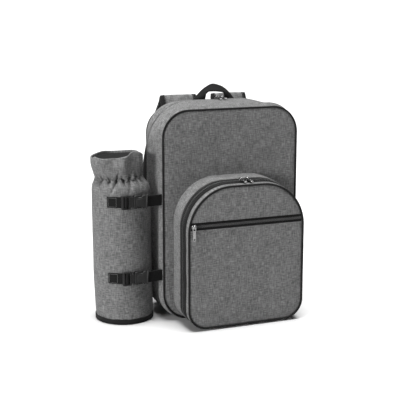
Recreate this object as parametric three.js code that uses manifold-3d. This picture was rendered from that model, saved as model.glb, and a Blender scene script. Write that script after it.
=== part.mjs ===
// Cooler backpack: an insulated main compartment with a front pocket, a bottle holder buckled to its left
// side, a webbing handle and two padded shoulder straps. Millimetres, +Z up. The front faces -Y and the
// shoulder straps are at +Y. The origin is on the floor, under the middle of the main compartment.
import * as THREE from "three";
import { mergeVertices } from "three/addons/utils/BufferGeometryUtils.js";
import Module from "manifold-3d";

// Main compartment
const bagWidth = 262; // across the front seam
const bagHeight = 385; // to the front seam
const bagDepth = 120; // front seam to back seam
const bagTopRadius = 48; // at the front and back seams
const bagBottomRadius = 50;
const bagWall = 5; // cloth, foam and lining together
const bagRoll = 14; // width of the rolled edge round the front and back panels
const bagSwell = 1.5; // how far the front panel stands in front of its seam
const gussetSwell = 2; // how far each side stands outside the front seam at the zip
const topDome = 9; // rise of the top from the front seam to the zip
const cornerGrowth = 38; // how much the top corners' radius grows from the seams to the zip
const seamLift = 3; // height of the front and back seams above the floor
const backNarrowing = 13; // how much each side draws in from the zip to the back seam
const backDrop = 14; // how much the top falls from the zip to the back seam
const zipSetback = 84; // front seam to the middle of the main zip
const zipWidth = 6;
const zipThickness = 1.6;

// Front pocket
const pocketWidth = 221; // across the pocket's front seam
const pocketTop = 258;
const pocketBottom = 4.5;
const pocketDepth = 74; // main front seam to pocket front seam
const pocketTopRadius = 80;
const pocketBottomRadius = 35;
const pocketFlare = 2; // how much wider each side is where it is sewn to the bag
const pocketFall = 8; // drop of the top from the bag to the front seam
const pocketHeel = 1.5; // rise of the underside towards the bag
const pocketWall = 2;
const pocketRoll = 10;
const pocketSwell = 1;
const pocketSideSwell = 1.8; // how far the loose sides bulge
const pocketSeat = 0.6; // gap between the pocket's rear edge and the panel it is sewn to
const pocketZipSetback = 26; // front seam to the middle of the pocket's zip
const pocketZipWidth = 24;
const tapeThickness = 1.2;
const frontZipHeight = 191.4; // middle of the zip across the pocket's front
const frontZipWidth = 14;

// Trim shared by all seams
const pipingRadius = 1.8;
const clearance = 0.3;

// Zip sliders and their tabs
const sliderLength = 8;
const sliderWidth = 8;
const sliderThickness = 2.1;
const bridgeWidth = 2.4;
const bridgeWall = 1.2;
const tabThickness = 1.4;
const tabWidth = 6.4;
const tabLength = 25;
const tabEyeWidth = 3.6;
const tabEyeLength = 5.6;
const tabHole = 1.6; // radius of the hole near the free end
const pocketSliders = { left: -2.4, right: 10.3 };
const topSliders = { left: 6, right: 16.3 };

// Carry handle
const handleWebbing = 25;
const handleThickness = 3;
const handleLeft = -25.4; // middle of the left foot
const handleRight = 35.7;
const handleRise = 36; // top of the handle above the front seam's top
const handleSetback = 97; // front seam to the middle of the handle

// Shoulder straps
const padWidth = 73;
const padThickness = 10;
const padRise = 17; // top of the straps above the front seam's top
const padEnd = 122; // height of the padded part's lower end
const padBow = 55; // how far a strap stands off the back seam where it bows out most
const padCentreTop = 51.5; // from the middle plane to the middle of each strap
const padCentreEnd = 88;
const bindingWidth = 3;
const bindingGap = 0.8;
const strapWebbing = 25;
const webbingThickness = 1.6;
const strapAnchorHeight = 30;
const strapAnchorCentre = 92;
const adjusterWidth = 32;
const adjusterLength = 26;
const adjusterThickness = 4;
const adjusterBar = 4;
const strapTail = 60;

// Bottle holder
const holderRadius = 53;
const holderHeight = 308;
const holderGap = 7.3; // between the holder and the front seam's side
const holderWall = 4;
const collarWall = 3;
const pleatDepth = 3.4;
const pleatCount = 12;
const rimWave = 2.2;
const rimTilt = 3; // how much higher the back of the rim is than its middle
const collarLean = 6.5;
const bottomBindingHeight = 10;
const bottomBindingThickness = 2;

// Straps that hold the bottle holder
const holderWebbing = 20;
const upperStrapHeight = 227;
const lowerStrapHeight = 88;
const patchStart = -132; // degrees round the holder, 0 towards the bag and -90 to the front
const patchEnd = -111;
const rearPatchStart = 86;
const rearPatchEnd = 125;
const buckleHeight = 25;
const buckleThickness = 8;
const ladderThickness = 5.6;
const ladderLength = 22;
const ladderBar = 3;
const ladderTongue = 9; // the solid end that goes into the socket
const socketLength = 25.5;
const socketEnd = 29.5; // from the socket's outer end to the middle of the bag's side seam

// Finishes: colour, roughness and metalness
const finishes = {
  cloth: { color: 0x686868, roughness: 0.92, metalness: 0 },
  webbing: { color: 0x2b2b2b, roughness: 0.85, metalness: 0 },
  binding: { color: 0x2e2e2e, roughness: 0.8, metalness: 0 },
  tape: { color: 0x262626, roughness: 0.75, metalness: 0 },
  plastic: { color: 0x1f1f1f, roughness: 0.45, metalness: 0 },
  nickel: { color: 0x9c9c9c, roughness: 0.3, metalness: 1 },
};

// Places that several pieces share
const frontSeam = -bagDepth / 2;
const backSeam = bagDepth / 2;
const zipPlane = frontSeam + zipSetback;
const pocketSeam = frontSeam - pocketDepth;
const pocketZipPlane = pocketSeam + pocketZipSetback;
const handleTop = bagHeight + handleRise;
const padTop = bagHeight + padRise;
const holderCentre = -(bagWidth / 2 + holderGap + holderRadius);
// A shell starts this far behind and inside the path of its piping, at 45 degrees.
const seamInset = (pipingRadius + clearance) * Math.SQRT1_2;

const degrees = (angle) => THREE.MathUtils.degToRad(angle);
const mix = THREE.MathUtils.lerp;
const point = (x, y, z) => new THREE.Vector3(x, y, z);

const wasm = await Module();
wasm.setup();

const backpack = new THREE.Group();

// Adds one named piece with a material of its own.
function piece(name, geometry, finish, parent = backpack) {
  const mesh = new THREE.Mesh(geometry, new THREE.MeshStandardMaterial(finishes[finish]));
  mesh.name = name;
  parent.add(mesh);
  return mesh;
}

// Turns a geometry's faces outwards if its signed volume is negative.
function facedOut(geometry) {
  const at = geometry.getAttribute("position");
  const index = geometry.index.array;
  const corner = [point(), point(), point()];
  let volume = 0;
  for (let i = 0; i < index.length; i += 3) {
    corner.forEach((p, k) => p.fromBufferAttribute(at, index[i + k]));
    volume += corner[0].dot(corner[1].cross(corner[2]));
  }
  if (volume < 0) {
    for (let i = 0; i < index.length; i += 3) {
      [index[i + 1], index[i + 2]] = [index[i + 2], index[i + 1]];
    }
  }
  geometry.computeVertexNormals();
  return geometry;
}

// Joins rings of points into one closed body. A ring of one point is a pole, and a looped body joins its
// last ring to its first.
function skin(rings, looped = false) {
  const positions = [];
  const starts = [];
  for (const ring of rings) {
    starts.push(positions.length / 3);
    ring.forEach((p) => positions.push(p.x, p.y, p.z));
  }
  const index = [];
  const spans = looped ? rings.length : rings.length - 1;
  for (let i = 0; i < spans; i++) {
    const j = (i + 1) % rings.length;
    const here = (k) => starts[i] + (k % rings[i].length);
    const there = (k) => starts[j] + (k % rings[j].length);
    const count = Math.max(rings[i].length, rings[j].length);
    for (let k = 0; k < count; k++) {
      if (rings[i].length > 1) index.push(here(k), here(k + 1), there(k));
      if (rings[j].length > 1) index.push(here(k + 1), there(k + 1), there(k));
    }
  }
  const geometry = new THREE.BufferGeometry();
  geometry.setAttribute("position", new THREE.Float32BufferAttribute(positions, 3));
  geometry.setIndex(index);
  return facedOut(geometry);
}

// Sweeps a section of [across, outward] pairs along points whose outward directions are given.
function ribbon(points, normals, section, looped = false) {
  const last = points.length - 1;
  const rings = points.map((at, i) => {
    const before = looped ? points.at(i - 1) : points[Math.max(i - 1, 0)];
    const after = looped ? points[(i + 1) % points.length] : points[Math.min(i + 1, last)];
    const along = after.clone().sub(before).normalize();
    const across = along.clone().cross(normals[i]).normalize();
    return placed(at, across, across.clone().cross(along), section);
  });
  return looped ? skin(rings, true) : skin([[points[0]], ...rings, [points[last]]]);
}

// A flat section with its corners cut, centred on the path.
function flatSection(width, thickness, cut = thickness / 3) {
  const a = width / 2;
  const b = thickness / 2;
  return [
    [-a, cut - b], [cut - a, -b], [a - cut, -b], [a, cut - b],
    [a, b - cut], [a - cut, b], [cut - a, b], [-a, b - cut],
  ];
}

// A section's points, from where its middle is and the directions of its two axes.
const placed = (at, sideways, outward, section) =>
  section.map(([a, b]) => at.clone().addScaledVector(sideways, a).addScaledVector(outward, b));

function roundSection(radius, sides) {
  return Array.from({ length: sides }, (_, i) => {
    const turn = (2 * Math.PI * (i + 0.5)) / sides;
    return [radius * Math.cos(turn), radius * Math.sin(turn)];
  });
}

// A plate of even thickness, centred on its plane, from a THREE.Shape.
function plate(shape, thickness, curveSegments = 1) {
  const options = { depth: thickness, bevelEnabled: false, curveSegments };
  return new THREE.ExtrudeGeometry(shape, options).translate(0, 0, -thickness / 2);
}

// A round-cornered rectangle between two corners, as a shape or as a hole in one.
function roundedBox(Kind, left, low, right, high, radius) {
  const path = new Kind();
  path.moveTo(left + radius, low);
  path.lineTo(right - radius, low);
  path.absarc(right - radius, low + radius, radius, -Math.PI / 2, 0);
  path.lineTo(right, high - radius);
  path.absarc(right - radius, high - radius, radius, 0, Math.PI / 2);
  path.lineTo(left + radius, high);
  path.absarc(left + radius, high - radius, radius, Math.PI / 2, Math.PI);
  path.lineTo(left, low + radius);
  path.absarc(left + radius, low + radius, radius, Math.PI, 1.5 * Math.PI);
  return path;
}

// Joining and cutting
function solidOf(geometry) {
  const bare = geometry.clone();
  bare.deleteAttribute("normal");
  bare.deleteAttribute("uv");
  const merged = mergeVertices(bare, 1e-4);
  const vertProperties = new Float32Array(merged.getAttribute("position").array);
  const triVerts = new Uint32Array(merged.index.array);
  return new wasm.Manifold(new wasm.Mesh({ numProp: 3, vertProperties, triVerts }));
}

function geometryOf(solid) {
  const mesh = solid.getMesh();
  const geometry = new THREE.BufferGeometry();
  geometry.setAttribute("position", new THREE.Float32BufferAttribute(mesh.vertProperties, 3));
  geometry.setIndex(Array.from(mesh.triVerts));
  geometry.computeVertexNormals();
  return geometry;
}

// Round-cornered outlines. Every outline has the same points: half of it runs from the bottom middle up
// the right side to the top middle, and the left half mirrors it. The shares divide its straight runs.
const bottomShares = [0.4, 0.9];
const sideShares = [0.33, 0.66];
const topShares = [0.5];
const cornerSteps = 6;
const archSteps = 7;
const cornerStart = 1 + bottomShares.length;
const cornerEnd = cornerStart + cornerSteps;

function outline({ halfWidth, bottom, top, bottomRadius, topRadius }) {
  const half = [[0, bottom]];
  const arc = (x, z, radius, from, steps) => {
    for (let i = 0; i <= steps; i++) {
      const turn = from + ((Math.PI / 2) * i) / steps;
      half.push([x + radius * Math.cos(turn), z + radius * Math.sin(turn)]);
    }
  };
  const bottomRun = halfWidth - bottomRadius;
  const topRun = halfWidth - topRadius;
  bottomShares.forEach((share) => half.push([bottomRun * share, bottom]));
  arc(bottomRun, bottom + bottomRadius, bottomRadius, -Math.PI / 2, cornerSteps);
  sideShares.forEach((share) => half.push([halfWidth, mix(bottom + bottomRadius, top - topRadius, share)]));
  arc(topRun, top - topRadius, topRadius, 0, archSteps);
  topShares.forEach((share) => half.push([topRun * (1 - share), top]));
  half.push([0, top]);
  const mirrored = half.slice(1, -1).reverse().map(([x, z]) => [-x, z]);
  return [...half, ...mirrored];
}

const outlineCount = 2 * (cornerEnd + 1 + sideShares.length + archSteps + 1 + topShares.length);
// Counts from the bottom middle up either side, for the index of an outline's point.
const upSide = (i) => Math.min(i, outlineCount - i);

// The outline smaller by an inset on every side.
function insetOutline(size, inset) {
  return outline({
    halfWidth: size.halfWidth - inset,
    bottom: size.bottom + inset,
    top: size.top - inset,
    bottomRadius: size.bottomRadius - inset,
    topRadius: size.topRadius - inset,
  });
}

// An outline's points at a depth, which may differ from point to point.
function ringAt(outlinePoints, depth) {
  return outlinePoints.map(([x, z], i) => point(x, typeof depth === "function" ? depth(i, x, z) : depth, z));
}

// Piping: a cord in the seam, along an outline in the plane of a seam.
function piping(size, depth) {
  const path = ringAt(outline(size), depth);
  const normals = path.map((at, i) => {
    const along = path[(i + 1) % path.length].clone().sub(path.at(i - 1));
    return point(along.z, 0, -along.x).normalize();
  });
  return ribbon(path, normals, roundSection(pipingRadius, 6), true);
}

// A strip along part of an outline, from its four edges: rear outer, front outer, front inner, rear inner.
function strip(edges, first) {
  const order = [];
  for (let i = first; i <= outlineCount - first; i++) order.push(i);
  const rings = order.map((i) => edges.map((edge) => edge[i].clone()));
  const middle = (ring) => [ring.reduce((sum, p) => sum.add(p), point(0, 0, 0)).divideScalar(ring.length)];
  return skin([middle(rings[0]), ...rings, middle(rings.at(-1))]);
}

// Main compartment. swell, rise, corner and lift are shares of gussetSwell, topDome, cornerGrowth and
// seamLift, and narrow and drop of backNarrowing and backDrop.
function bagSize({ swell = 1, rise = 1, corner = 1, lift = 0, narrow = 0, drop = 0 }) {
  return {
    halfWidth: bagWidth / 2 + swell * gussetSwell - narrow * backNarrowing,
    bottom: lift * seamLift,
    top: bagHeight + rise * topDome - drop * backDrop,
    bottomRadius: bagBottomRadius,
    topRadius: bagTopRadius + corner * cornerGrowth,
  };
}

const frontSeamSize = bagSize({ swell: 0, rise: 0, corner: 0, lift: 1 });
const backSeamSize = bagSize({ corner: 0, lift: 1, narrow: 1, drop: 1 });

// Sections from the front seam to the zip; depth is a share of that distance.
const frontSections = [
  { depth: 0.07, swell: 0.7, rise: 0.25, corner: 0.07, lift: 0.6 },
  { depth: 0.2, swell: 1.3, rise: 0.55, corner: 0.2, lift: 0.1 },
  { depth: 0.3, swell: 0.9, rise: 0.6, corner: 0.3, lift: 0 },
  { depth: 0.65, swell: 1, rise: 0.88, corner: 0.65, lift: 0 },
];

// Sections from the zip to the back seam; depth is a share of that distance.
const backSections = [
  { depth: 0.4, narrow: 0.45, drop: 0.12, corner: 0.5, lift: 0 },
  { depth: 0.75, narrow: 0.75, drop: 0.45, corner: 0.2, lift: 0.15 },
];

// Rolled edge of a panel: inset is a share of the roll, and swell of how far the panel stands out.
const panelRoll = [
  { inset: 0.35, swell: 0.5 },
  { inset: 1, swell: 1 },
];

// Depth of the rims at the zip, which close up to a seam below the zip's ends.
const rimDepth = (side, first, plane, width) => (i) =>
  plane + side * (upSide(i) >= first ? width / 2 : clearance / 2);

function frontShell() {
  const zipSize = bagSize({});
  const facing = frontSeam - bagSwell;
  const middle = (frontSeamSize.bottom + frontSeamSize.top) / 2;
  const rim = rimDepth(-1, cornerEnd, zipPlane, zipWidth);
  return skin([
    [point(0, facing, middle)],
    ...panelRoll.toReversed().map(({ inset, swell }) =>
      ringAt(insetOutline(frontSeamSize, inset * bagRoll), frontSeam - swell * bagSwell)),
    ringAt(insetOutline(frontSeamSize, seamInset), frontSeam + seamInset),
    ...frontSections.map((section) =>
      ringAt(outline(bagSize(section)), frontSeam + section.depth * zipSetback)),
    ringAt(outline(zipSize), rim),
    ringAt(insetOutline(zipSize, bagWall), rim),
    ringAt(insetOutline(frontSeamSize, bagWall), frontSeam + bagWall + seamInset),
    ringAt(insetOutline(frontSeamSize, bagRoll), facing + bagWall),
    [point(0, facing + bagWall, middle)],
  ]);
}

function backShell() {
  const zipSize = bagSize({});
  const rim = rimDepth(1, cornerEnd, zipPlane, zipWidth);
  const middle = (backSeamSize.bottom + backSeamSize.top) / 2;
  const depthAt = (share) => mix(zipPlane, backSeam, share);
  return skin([
    [point(0, backSeam, middle)],
    ringAt(insetOutline(backSeamSize, bagRoll), backSeam),
    ringAt(insetOutline(backSeamSize, seamInset), backSeam - seamInset),
    ...backSections.toReversed().map((section) => ringAt(outline(bagSize(section)), depthAt(section.depth))),
    ringAt(outline(zipSize), rim),
    ringAt(insetOutline(zipSize, bagWall), rim),
    ...backSections.map((section) =>
      ringAt(insetOutline(bagSize(section), bagWall), depthAt(section.depth) - section.narrow * bagWall)),
    ringAt(insetOutline(backSeamSize, bagRoll), backSeam - bagWall),
    [point(0, backSeam - bagWall, middle)],
  ]);
}

function mainZip() {
  const size = bagSize({});
  const half = zipWidth / 2 - clearance;
  const outer = insetOutline(size, clearance);
  const inner = insetOutline(size, clearance + zipThickness);
  return strip([
    ringAt(outer, zipPlane + half),
    ringAt(outer, zipPlane - half),
    ringAt(inner, zipPlane - half),
    ringAt(inner, zipPlane + half),
  ], cornerEnd);
}

// Front pocket: out is 0 where it is sewn to the bag and 1 at its front seam.
function pocketSize(out, swell = 0) {
  const flare = pocketFlare * (1 - out);
  return {
    halfWidth: pocketWidth / 2 + flare + swell * pocketSideSwell,
    bottom: pocketBottom + pocketHeel * (1 - out),
    top: pocketTop + pocketFall * (1 - out) + swell * pocketSideSwell,
    bottomRadius: pocketBottomRadius + flare,
    topRadius: pocketTopRadius + flare,
  };
}

const outAt = (depth) => (frontSeam - depth) / pocketDepth;
const pocketRear = pocketZipPlane + pocketZipWidth / 2;
const pocketFront = pocketZipPlane - pocketZipWidth / 2;
// The sides bulge most at the zip.
const pocketZipSize = (depth) => pocketSize(outAt(depth), 1);

// Depth of the bag's front panel at a point, which the pocket is sewn to.
function panelDepth(x, z) {
  const { halfWidth, bottom, top, bottomRadius, topRadius } = frontSeamSize;
  const low = z < (bottom + top) / 2;
  const radius = low ? bottomRadius : topRadius;
  const pastSide = Math.abs(x) - (halfWidth - radius);
  const pastEnd = low ? bottom + radius - z : z - (top - radius);
  const outside = Math.hypot(Math.max(pastSide, 0), Math.max(pastEnd, 0));
  const inset = radius - outside - Math.min(Math.max(pastSide, pastEnd), 0);
  const steps = [
    { inset: seamInset, depth: frontSeam + seamInset },
    ...panelRoll.map((row) => ({ inset: row.inset * bagRoll, depth: frontSeam - row.swell * bagSwell })),
  ];
  const next = steps.findIndex((step) => step.inset > inset);
  if (next < 0) return steps.at(-1).depth;
  const [from, to] = [steps[Math.max(next - 1, 0)], steps[next]];
  if (from === to) return to.depth;
  return THREE.MathUtils.mapLinear(inset, from.inset, to.inset, from.depth, to.depth);
}

function pocketRearGusset() {
  const seat = (i, x, z) => panelDepth(x, z) - pocketSeat;
  const rim = rimDepth(1, cornerStart, pocketZipPlane, pocketZipWidth);
  const between = mix(frontSeam, pocketRear, 0.5);
  return skin([
    ringAt(outline(pocketSize(0)), seat),
    ringAt(outline(pocketSize(outAt(between), 0.6)), between),
    ringAt(outline(pocketZipSize(pocketRear)), rim),
    ringAt(insetOutline(pocketZipSize(pocketRear), pocketWall), rim),
    ringAt(insetOutline(pocketSize(outAt(between), 0.6), pocketWall), between),
    ringAt(insetOutline(pocketSize(0), pocketWall), seat),
  ], true);
}

function pocketZip() {
  const rear = pocketRear - clearance;
  const front = pocketFront + clearance;
  return strip([
    ringAt(insetOutline(pocketZipSize(rear), clearance), rear),
    ringAt(insetOutline(pocketZipSize(front), clearance), front),
    ringAt(insetOutline(pocketZipSize(front), clearance + tapeThickness), front),
    ringAt(insetOutline(pocketZipSize(rear), clearance + tapeThickness), rear),
  ], cornerStart);
}

// Half the width between the pocket's two runs of piping, at a height in its arch.
function insidePiping(z) {
  const { halfWidth, top, topRadius } = pocketSize(1);
  const rise = Math.max(z - (top - topRadius), 0);
  return halfWidth - topRadius + Math.sqrt(topRadius ** 2 - rise ** 2) - pipingRadius - 2 * clearance;
}
const frontZipHalfLength = insidePiping(frontZipHeight + frontZipWidth / 2);

function pocketFrontShell() {
  const seam = pocketSize(1);
  const facing = pocketSeam - pocketSwell;
  const middle = (seam.bottom + seam.top) / 2;
  const rim = rimDepth(-1, cornerStart, pocketZipPlane, pocketZipWidth);
  const shell = skin([
    [point(0, facing, middle)],
    ...panelRoll.toReversed().map(({ inset, swell }) =>
      ringAt(insetOutline(seam, inset * pocketRoll), pocketSeam - swell * pocketSwell)),
    ringAt(insetOutline(seam, seamInset), pocketSeam + seamInset),
    ringAt(outline(pocketSize(1, 0.5)), mix(pocketSeam, pocketFront, 0.5)),
    ringAt(outline(pocketZipSize(pocketFront)), rim),
    ringAt(insetOutline(pocketZipSize(pocketFront), pocketWall), rim),
    ringAt(insetOutline(seam, pocketWall), pocketSeam + pocketWall + seamInset),
    ringAt(insetOutline(seam, pocketRoll), facing + pocketWall),
    [point(0, facing + pocketWall, middle)],
  ]);
  const slot = new THREE.BoxGeometry(2 * frontZipHalfLength, 6 * pocketWall, frontZipWidth);
  slot.translate(0, pocketSeam, frontZipHeight);
  return geometryOf(solidOf(shell).subtract(solidOf(slot)));
}

function frontZip() {
  const length = 2 * (frontZipHalfLength - clearance);
  const band = new THREE.BoxGeometry(length, tapeThickness, frontZipWidth - 2 * clearance);
  return band.translate(0, pocketSeam - pocketSwell + tapeThickness / 2 + clearance, frontZipHeight);
}

// Slider and tab. The tape's face is z = 0 here, the zip runs along X and the tab lies towards -Y. The
// tab's crosspiece is held under the bridge and turns on the line y = 0, z = tabAxis.
const bridgeInside = tabThickness + 2 * 0.4;
const sliderTop = clearance + sliderThickness;
const tabAxis = sliderTop + bridgeInside / 2;
const bridgeHalf = 3.4;

function sliderBody() {
  const [long, wide] = [sliderLength / 2, sliderWidth / 2];
  const body = roundedBox(THREE.Shape, -long, -wide, long, wide, 1.5);
  const block = plate(body, sliderThickness).translate(0, 0, clearance + sliderThickness / 2);
  const top = sliderTop + bridgeInside + bridgeWall;
  const side = new THREE.Shape();
  side.moveTo(-bridgeHalf, sliderTop - 0.5);
  side.lineTo(-bridgeHalf, top - bridgeWall);
  side.lineTo(-bridgeHalf + bridgeWall, top);
  side.lineTo(bridgeHalf - bridgeWall, top);
  side.lineTo(bridgeHalf, top - bridgeWall);
  side.lineTo(bridgeHalf, sliderTop - 0.5);
  const inside = bridgeHalf - bridgeWall;
  side.lineTo(inside, sliderTop - 0.5);
  side.lineTo(inside, sliderTop + bridgeInside);
  side.lineTo(-inside, sliderTop + bridgeInside);
  side.lineTo(-inside, sliderTop - 0.5);
  // The shape's x and y become the slider's y and z.
  const bridge = plate(side, bridgeWidth).rotateY(Math.PI / 2).rotateX(Math.PI / 2);
  return geometryOf(solidOf(block).add(solidOf(bridge)));
}

function tabPlate() {
  const half = tabWidth / 2;
  const cross = tabThickness / 2;
  const shape = new THREE.Shape();
  const waist = tabEyeLength + 2;
  shape.moveTo(-half, cross);
  shape.lineTo(-half, -waist + 1);
  shape.lineTo(-half * 0.75, -waist);
  shape.lineTo(-half * 0.9, -tabLength + half);
  shape.absarc(0, -tabLength + half, half * 0.9, Math.PI, 2 * Math.PI);
  shape.lineTo(half * 0.75, -waist);
  shape.lineTo(half, -waist + 1);
  shape.lineTo(half, cross);
  shape.holes.push(roundedBox(THREE.Path, -tabEyeWidth / 2, -tabEyeLength, tabEyeWidth / 2, -cross, 0.6));
  const hole = new THREE.Path();
  hole.absarc(0, -tabLength + half + 0.3, tabHole, 0, 2 * Math.PI);
  shape.holes.push(hole);
  return plate(shape, tabThickness, 3);
}

// Places a slider with its tab: the slope turns the tape's face from facing up to facing forward.
function zipPull(name, at, slope) {
  const mount = new THREE.Group();
  mount.position.copy(at);
  mount.rotation.x = slope;
  backpack.add(mount);
  piece(`${name}_slider`, sliderBody(), "nickel", mount);
  const tab = piece(`${name}_tab`, tabPlate(), "nickel", mount);
  tab.position.z = tabAxis;
}

// Carry handle. across is a share of the distance between the feet and up of the height of the arch, to the
// middle of the webbing. tilt turns the webbing's outer edge from pointing right, and wide is the share of
// its width that lies in the plane of the arch; the rest leans back.
const handleSections = [
  { across: 0, up: 0, tilt: 180, wide: 1 },
  { across: 0.06, up: 0.18, tilt: 166, wide: 0.86 },
  { across: 0.16, up: 0.445, tilt: 138, wide: 0.66 },
  { across: 0.28, up: 0.67, tilt: 104, wide: 0.56 },
  { across: 0.437, up: 0.75, tilt: 90, wide: 0.57 },
  { across: 0.592, up: 0.74, tilt: 86, wide: 0.56 },
  { across: 0.76, up: 0.66, tilt: 66, wide: 0.54 },
  { across: 0.89, up: 0.44, tilt: 32, wide: 0.62 },
  { across: 0.96, up: 0.2, tilt: 13, wide: 0.84 },
  { across: 1, up: 0, tilt: 0, wide: 1 },
];

function handle() {
  const setback = frontSeam + handleSetback;
  const foot = bagHeight + topDome + clearance - topFall(setback - handleThickness / 2);
  const stations = handleSections.map(({ across, up, tilt, wide }) => ({
    at: point(mix(handleLeft, handleRight, across), setback, mix(foot, handleTop, up)),
    edge: point(wide * Math.cos(degrees(tilt)), Math.sqrt(1 - wide ** 2), wide * Math.sin(degrees(tilt))),
  }));
  const rings = stations.map(({ at, edge }, i) => {
    const before = stations[Math.max(i - 1, 0)].at;
    const after = stations[Math.min(i + 1, stations.length - 1)].at;
    const isFoot = i === 0 || i === stations.length - 1;
    const face = isFoot ? point(0, Math.sign(edge.x), 0) : after.clone().sub(before).cross(edge).normalize();
    return placed(at, edge, face, flatSection(handleWebbing, handleThickness));
  });
  return skin([[stations[0].at], ...rings, [stations.at(-1).at]]);
}

// How far the bag's top has fallen from its highest line at a depth behind the zip.
function topFall(depth) {
  const share = (depth - zipPlane) / (backSeam - zipPlane);
  const rows = [{ depth: 0, drop: 0 }, ...backSections, { depth: 1, drop: 1 }];
  const next = Math.max(rows.findIndex((row) => row.depth >= share), 1);
  const [from, to] = [rows[next - 1], rows[next]];
  return backDrop * THREE.MathUtils.mapLinear(share, from.depth, to.depth, from.drop, to.drop);
}

// Shoulder straps: from the seam on the back panel, over the top and down. back is a share of padBow, high of
// the height from padEnd to padTop, spread of the way from padCentreTop to padCentreEnd, wide of padWidth.
const padSections = [
  { back: -0.03, high: 0.78, spread: 0.1, wide: 0.96 },
  { back: 0, high: 0.87, spread: 0.04, wide: 0.98 },
  { back: 0.07, high: 0.95, spread: 0, wide: 1 },
  { back: 0.25, high: 1, spread: 0, wide: 1 },
  { back: 0.44, high: 0.96, spread: 0.1, wide: 1 },
  { back: 0.58, high: 0.885, spread: 0.34, wide: 1 },
  { back: 0.8, high: 0.72, spread: 0.66, wide: 0.98 },
  { back: 0.96, high: 0.5, spread: 0.86, wide: 0.94 },
  { back: 0.92, high: 0.3, spread: 0.93, wide: 0.88 },
  { back: 0.74, high: 0.12, spread: 0.97, wide: 0.8 },
  { back: 0.62, high: 0.035, spread: 0.99, wide: 0.7 },
  { back: 0.56, high: 0, spread: 1, wide: 0.52 },
];
const padSteps = 2; // stations for each row of the table

function padStations() {
  const seat = backSeam + pipingRadius + clearance + padThickness / 2;
  const rows = padSections.map(({ back, high, spread }) => point(
    mix(padCentreTop, padCentreEnd, spread),
    seat + back * (padBow - padThickness),
    mix(padEnd, padTop - padThickness / 2, high),
  ));
  const curve = new THREE.CatmullRomCurve3(rows);
  const count = padSteps * (rows.length - 1);
  return Array.from({ length: count + 1 }, (_, i) => {
    const row = Math.min(Math.floor(i / padSteps), rows.length - 2);
    const wide = mix(padSections[row].wide, padSections[row + 1].wide, i / padSteps - row);
    const along = curve.getTangent(i / count);
    const across = point(1, 0, 0).addScaledVector(along, -along.x).normalize();
    const half = (wide * padWidth) / 2 - bindingWidth - bindingGap;
    return { at: curve.getPoint(i / count), along, across, outward: across.clone().cross(along), half };
  });
}

function shoulderPad(stations) {
  const b = padThickness / 2;
  const rings = stations.map(({ at, across, outward, half }) =>
    placed(at, across, outward, [[-half, -b], [half, -b], [half, b], [-half, b]]));
  return skin([[stations[0].at], ...rings, [stations.at(-1).at]]);
}

// The binding runs down one edge of a pad, round the corners of its lower end and up the other edge.
function padBinding(stations) {
  const offset = bindingGap + bindingWidth / 2;
  const a = bindingWidth / 2;
  const b = padThickness / 2;
  const section = [[-a, -b], [a, -b * 0.7], [a, b * 0.7], [-a, b]];
  const node = ({ at, half, outward }, across, sideways, share = 1) => {
    const middle = at.clone().addScaledVector(across, share * half).addScaledVector(sideways, offset);
    return { middle, ring: placed(middle, sideways, outward, section) };
  };
  const edge = (sign) => stations.map((station) => {
    const out = station.across.clone().multiplyScalar(sign);
    return node(station, out, out);
  });
  const end = stations.at(-1);
  const lower = [-1, 1].map((sign) => {
    const out = end.across.clone().multiplyScalar(sign);
    return node(end, out, out.clone().add(end.along));
  });
  const nodes = [...edge(-1).slice(0, -1), ...lower, ...edge(1).slice(0, -1).reverse()];
  return skin([[nodes[0].middle], ...nodes.map(({ ring }) => ring), [nodes.at(-1).middle]]);
}

// Ladder adjuster below a pad: a frame of three bars, hung from the pad's end.
function adjuster(end) {
  const half = adjusterWidth / 2;
  const frame = roundedBox(THREE.Shape, -half, -adjusterLength, half, 0, 3);
  const window = (adjusterLength - 3 * adjusterBar) / 2;
  const edge = half - adjusterBar * 0.75;
  for (let i = 0; i < 2; i++) {
    const low = -adjusterLength + adjusterBar + i * (window + adjusterBar);
    frame.holes.push(roundedBox(THREE.Path, -edge, low, edge, low + window, 1));
  }
  const turned = new THREE.Matrix4().makeBasis(
    end.across, end.along.clone().negate(), end.outward.clone().negate());
  turned.setPosition(end.at.clone().addScaledVector(end.along, adjusterDrop));
  return mergeVertices(plate(frame, adjusterThickness).deleteAttribute("uv")).applyMatrix4(turned);
}

// Webbing from a bottom corner of the back panel up behind the adjuster, out over its middle bar and down as
// a short tail. along and off are shares of the adjuster's length and thickness, from its upper bar.
const threading = [
  { along: 1.2, off: -0.85 },
  { along: 0.9, off: -0.85 },
  { along: 0.5, off: -0.85 },
  { along: 0.31, off: -0.7 },
  { along: 0.27, off: 0 },
  { along: 0.31, off: 0.7 },
  { along: 0.5, off: 0.85 },
  { along: 0.9, off: 0.85 },
  { along: 1.2, off: 0.85 },
];
const adjusterDrop = bindingGap + bindingWidth + clearance; // from the pad's end to the adjuster

function strapStrip(end) {
  const anchor = point(strapAnchorCentre, backSeam + clearance + webbingThickness / 2, strapAnchorHeight);
  const sewn = anchor.clone().add(point(0, 0, strapWebbing / 2));
  const place = ({ along, off: out }) => end.at.clone()
    .addScaledVector(end.along, adjusterDrop + along * adjusterLength)
    .addScaledVector(end.outward, out * adjusterThickness);
  const turned = threading.map(place);
  const tail = turned.at(-1).clone().add(point(0, 0, -strapTail));
  const points = [anchor, sewn, ...turned, tail];
  const normals = points.map((at, i) => {
    const along = points[Math.min(i + 1, points.length - 1)].clone().sub(points[Math.max(i - 1, 0)]);
    return point(1, 0, 0).cross(along).normalize();
  });
  const section = [[-1, -1], [1, -1], [1, 1], [-1, 1]].map(([a, b]) =>
    [(a * strapWebbing) / 2, (b * webbingThickness) / 2]);
  return ribbon(points, normals, section);
}

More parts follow.
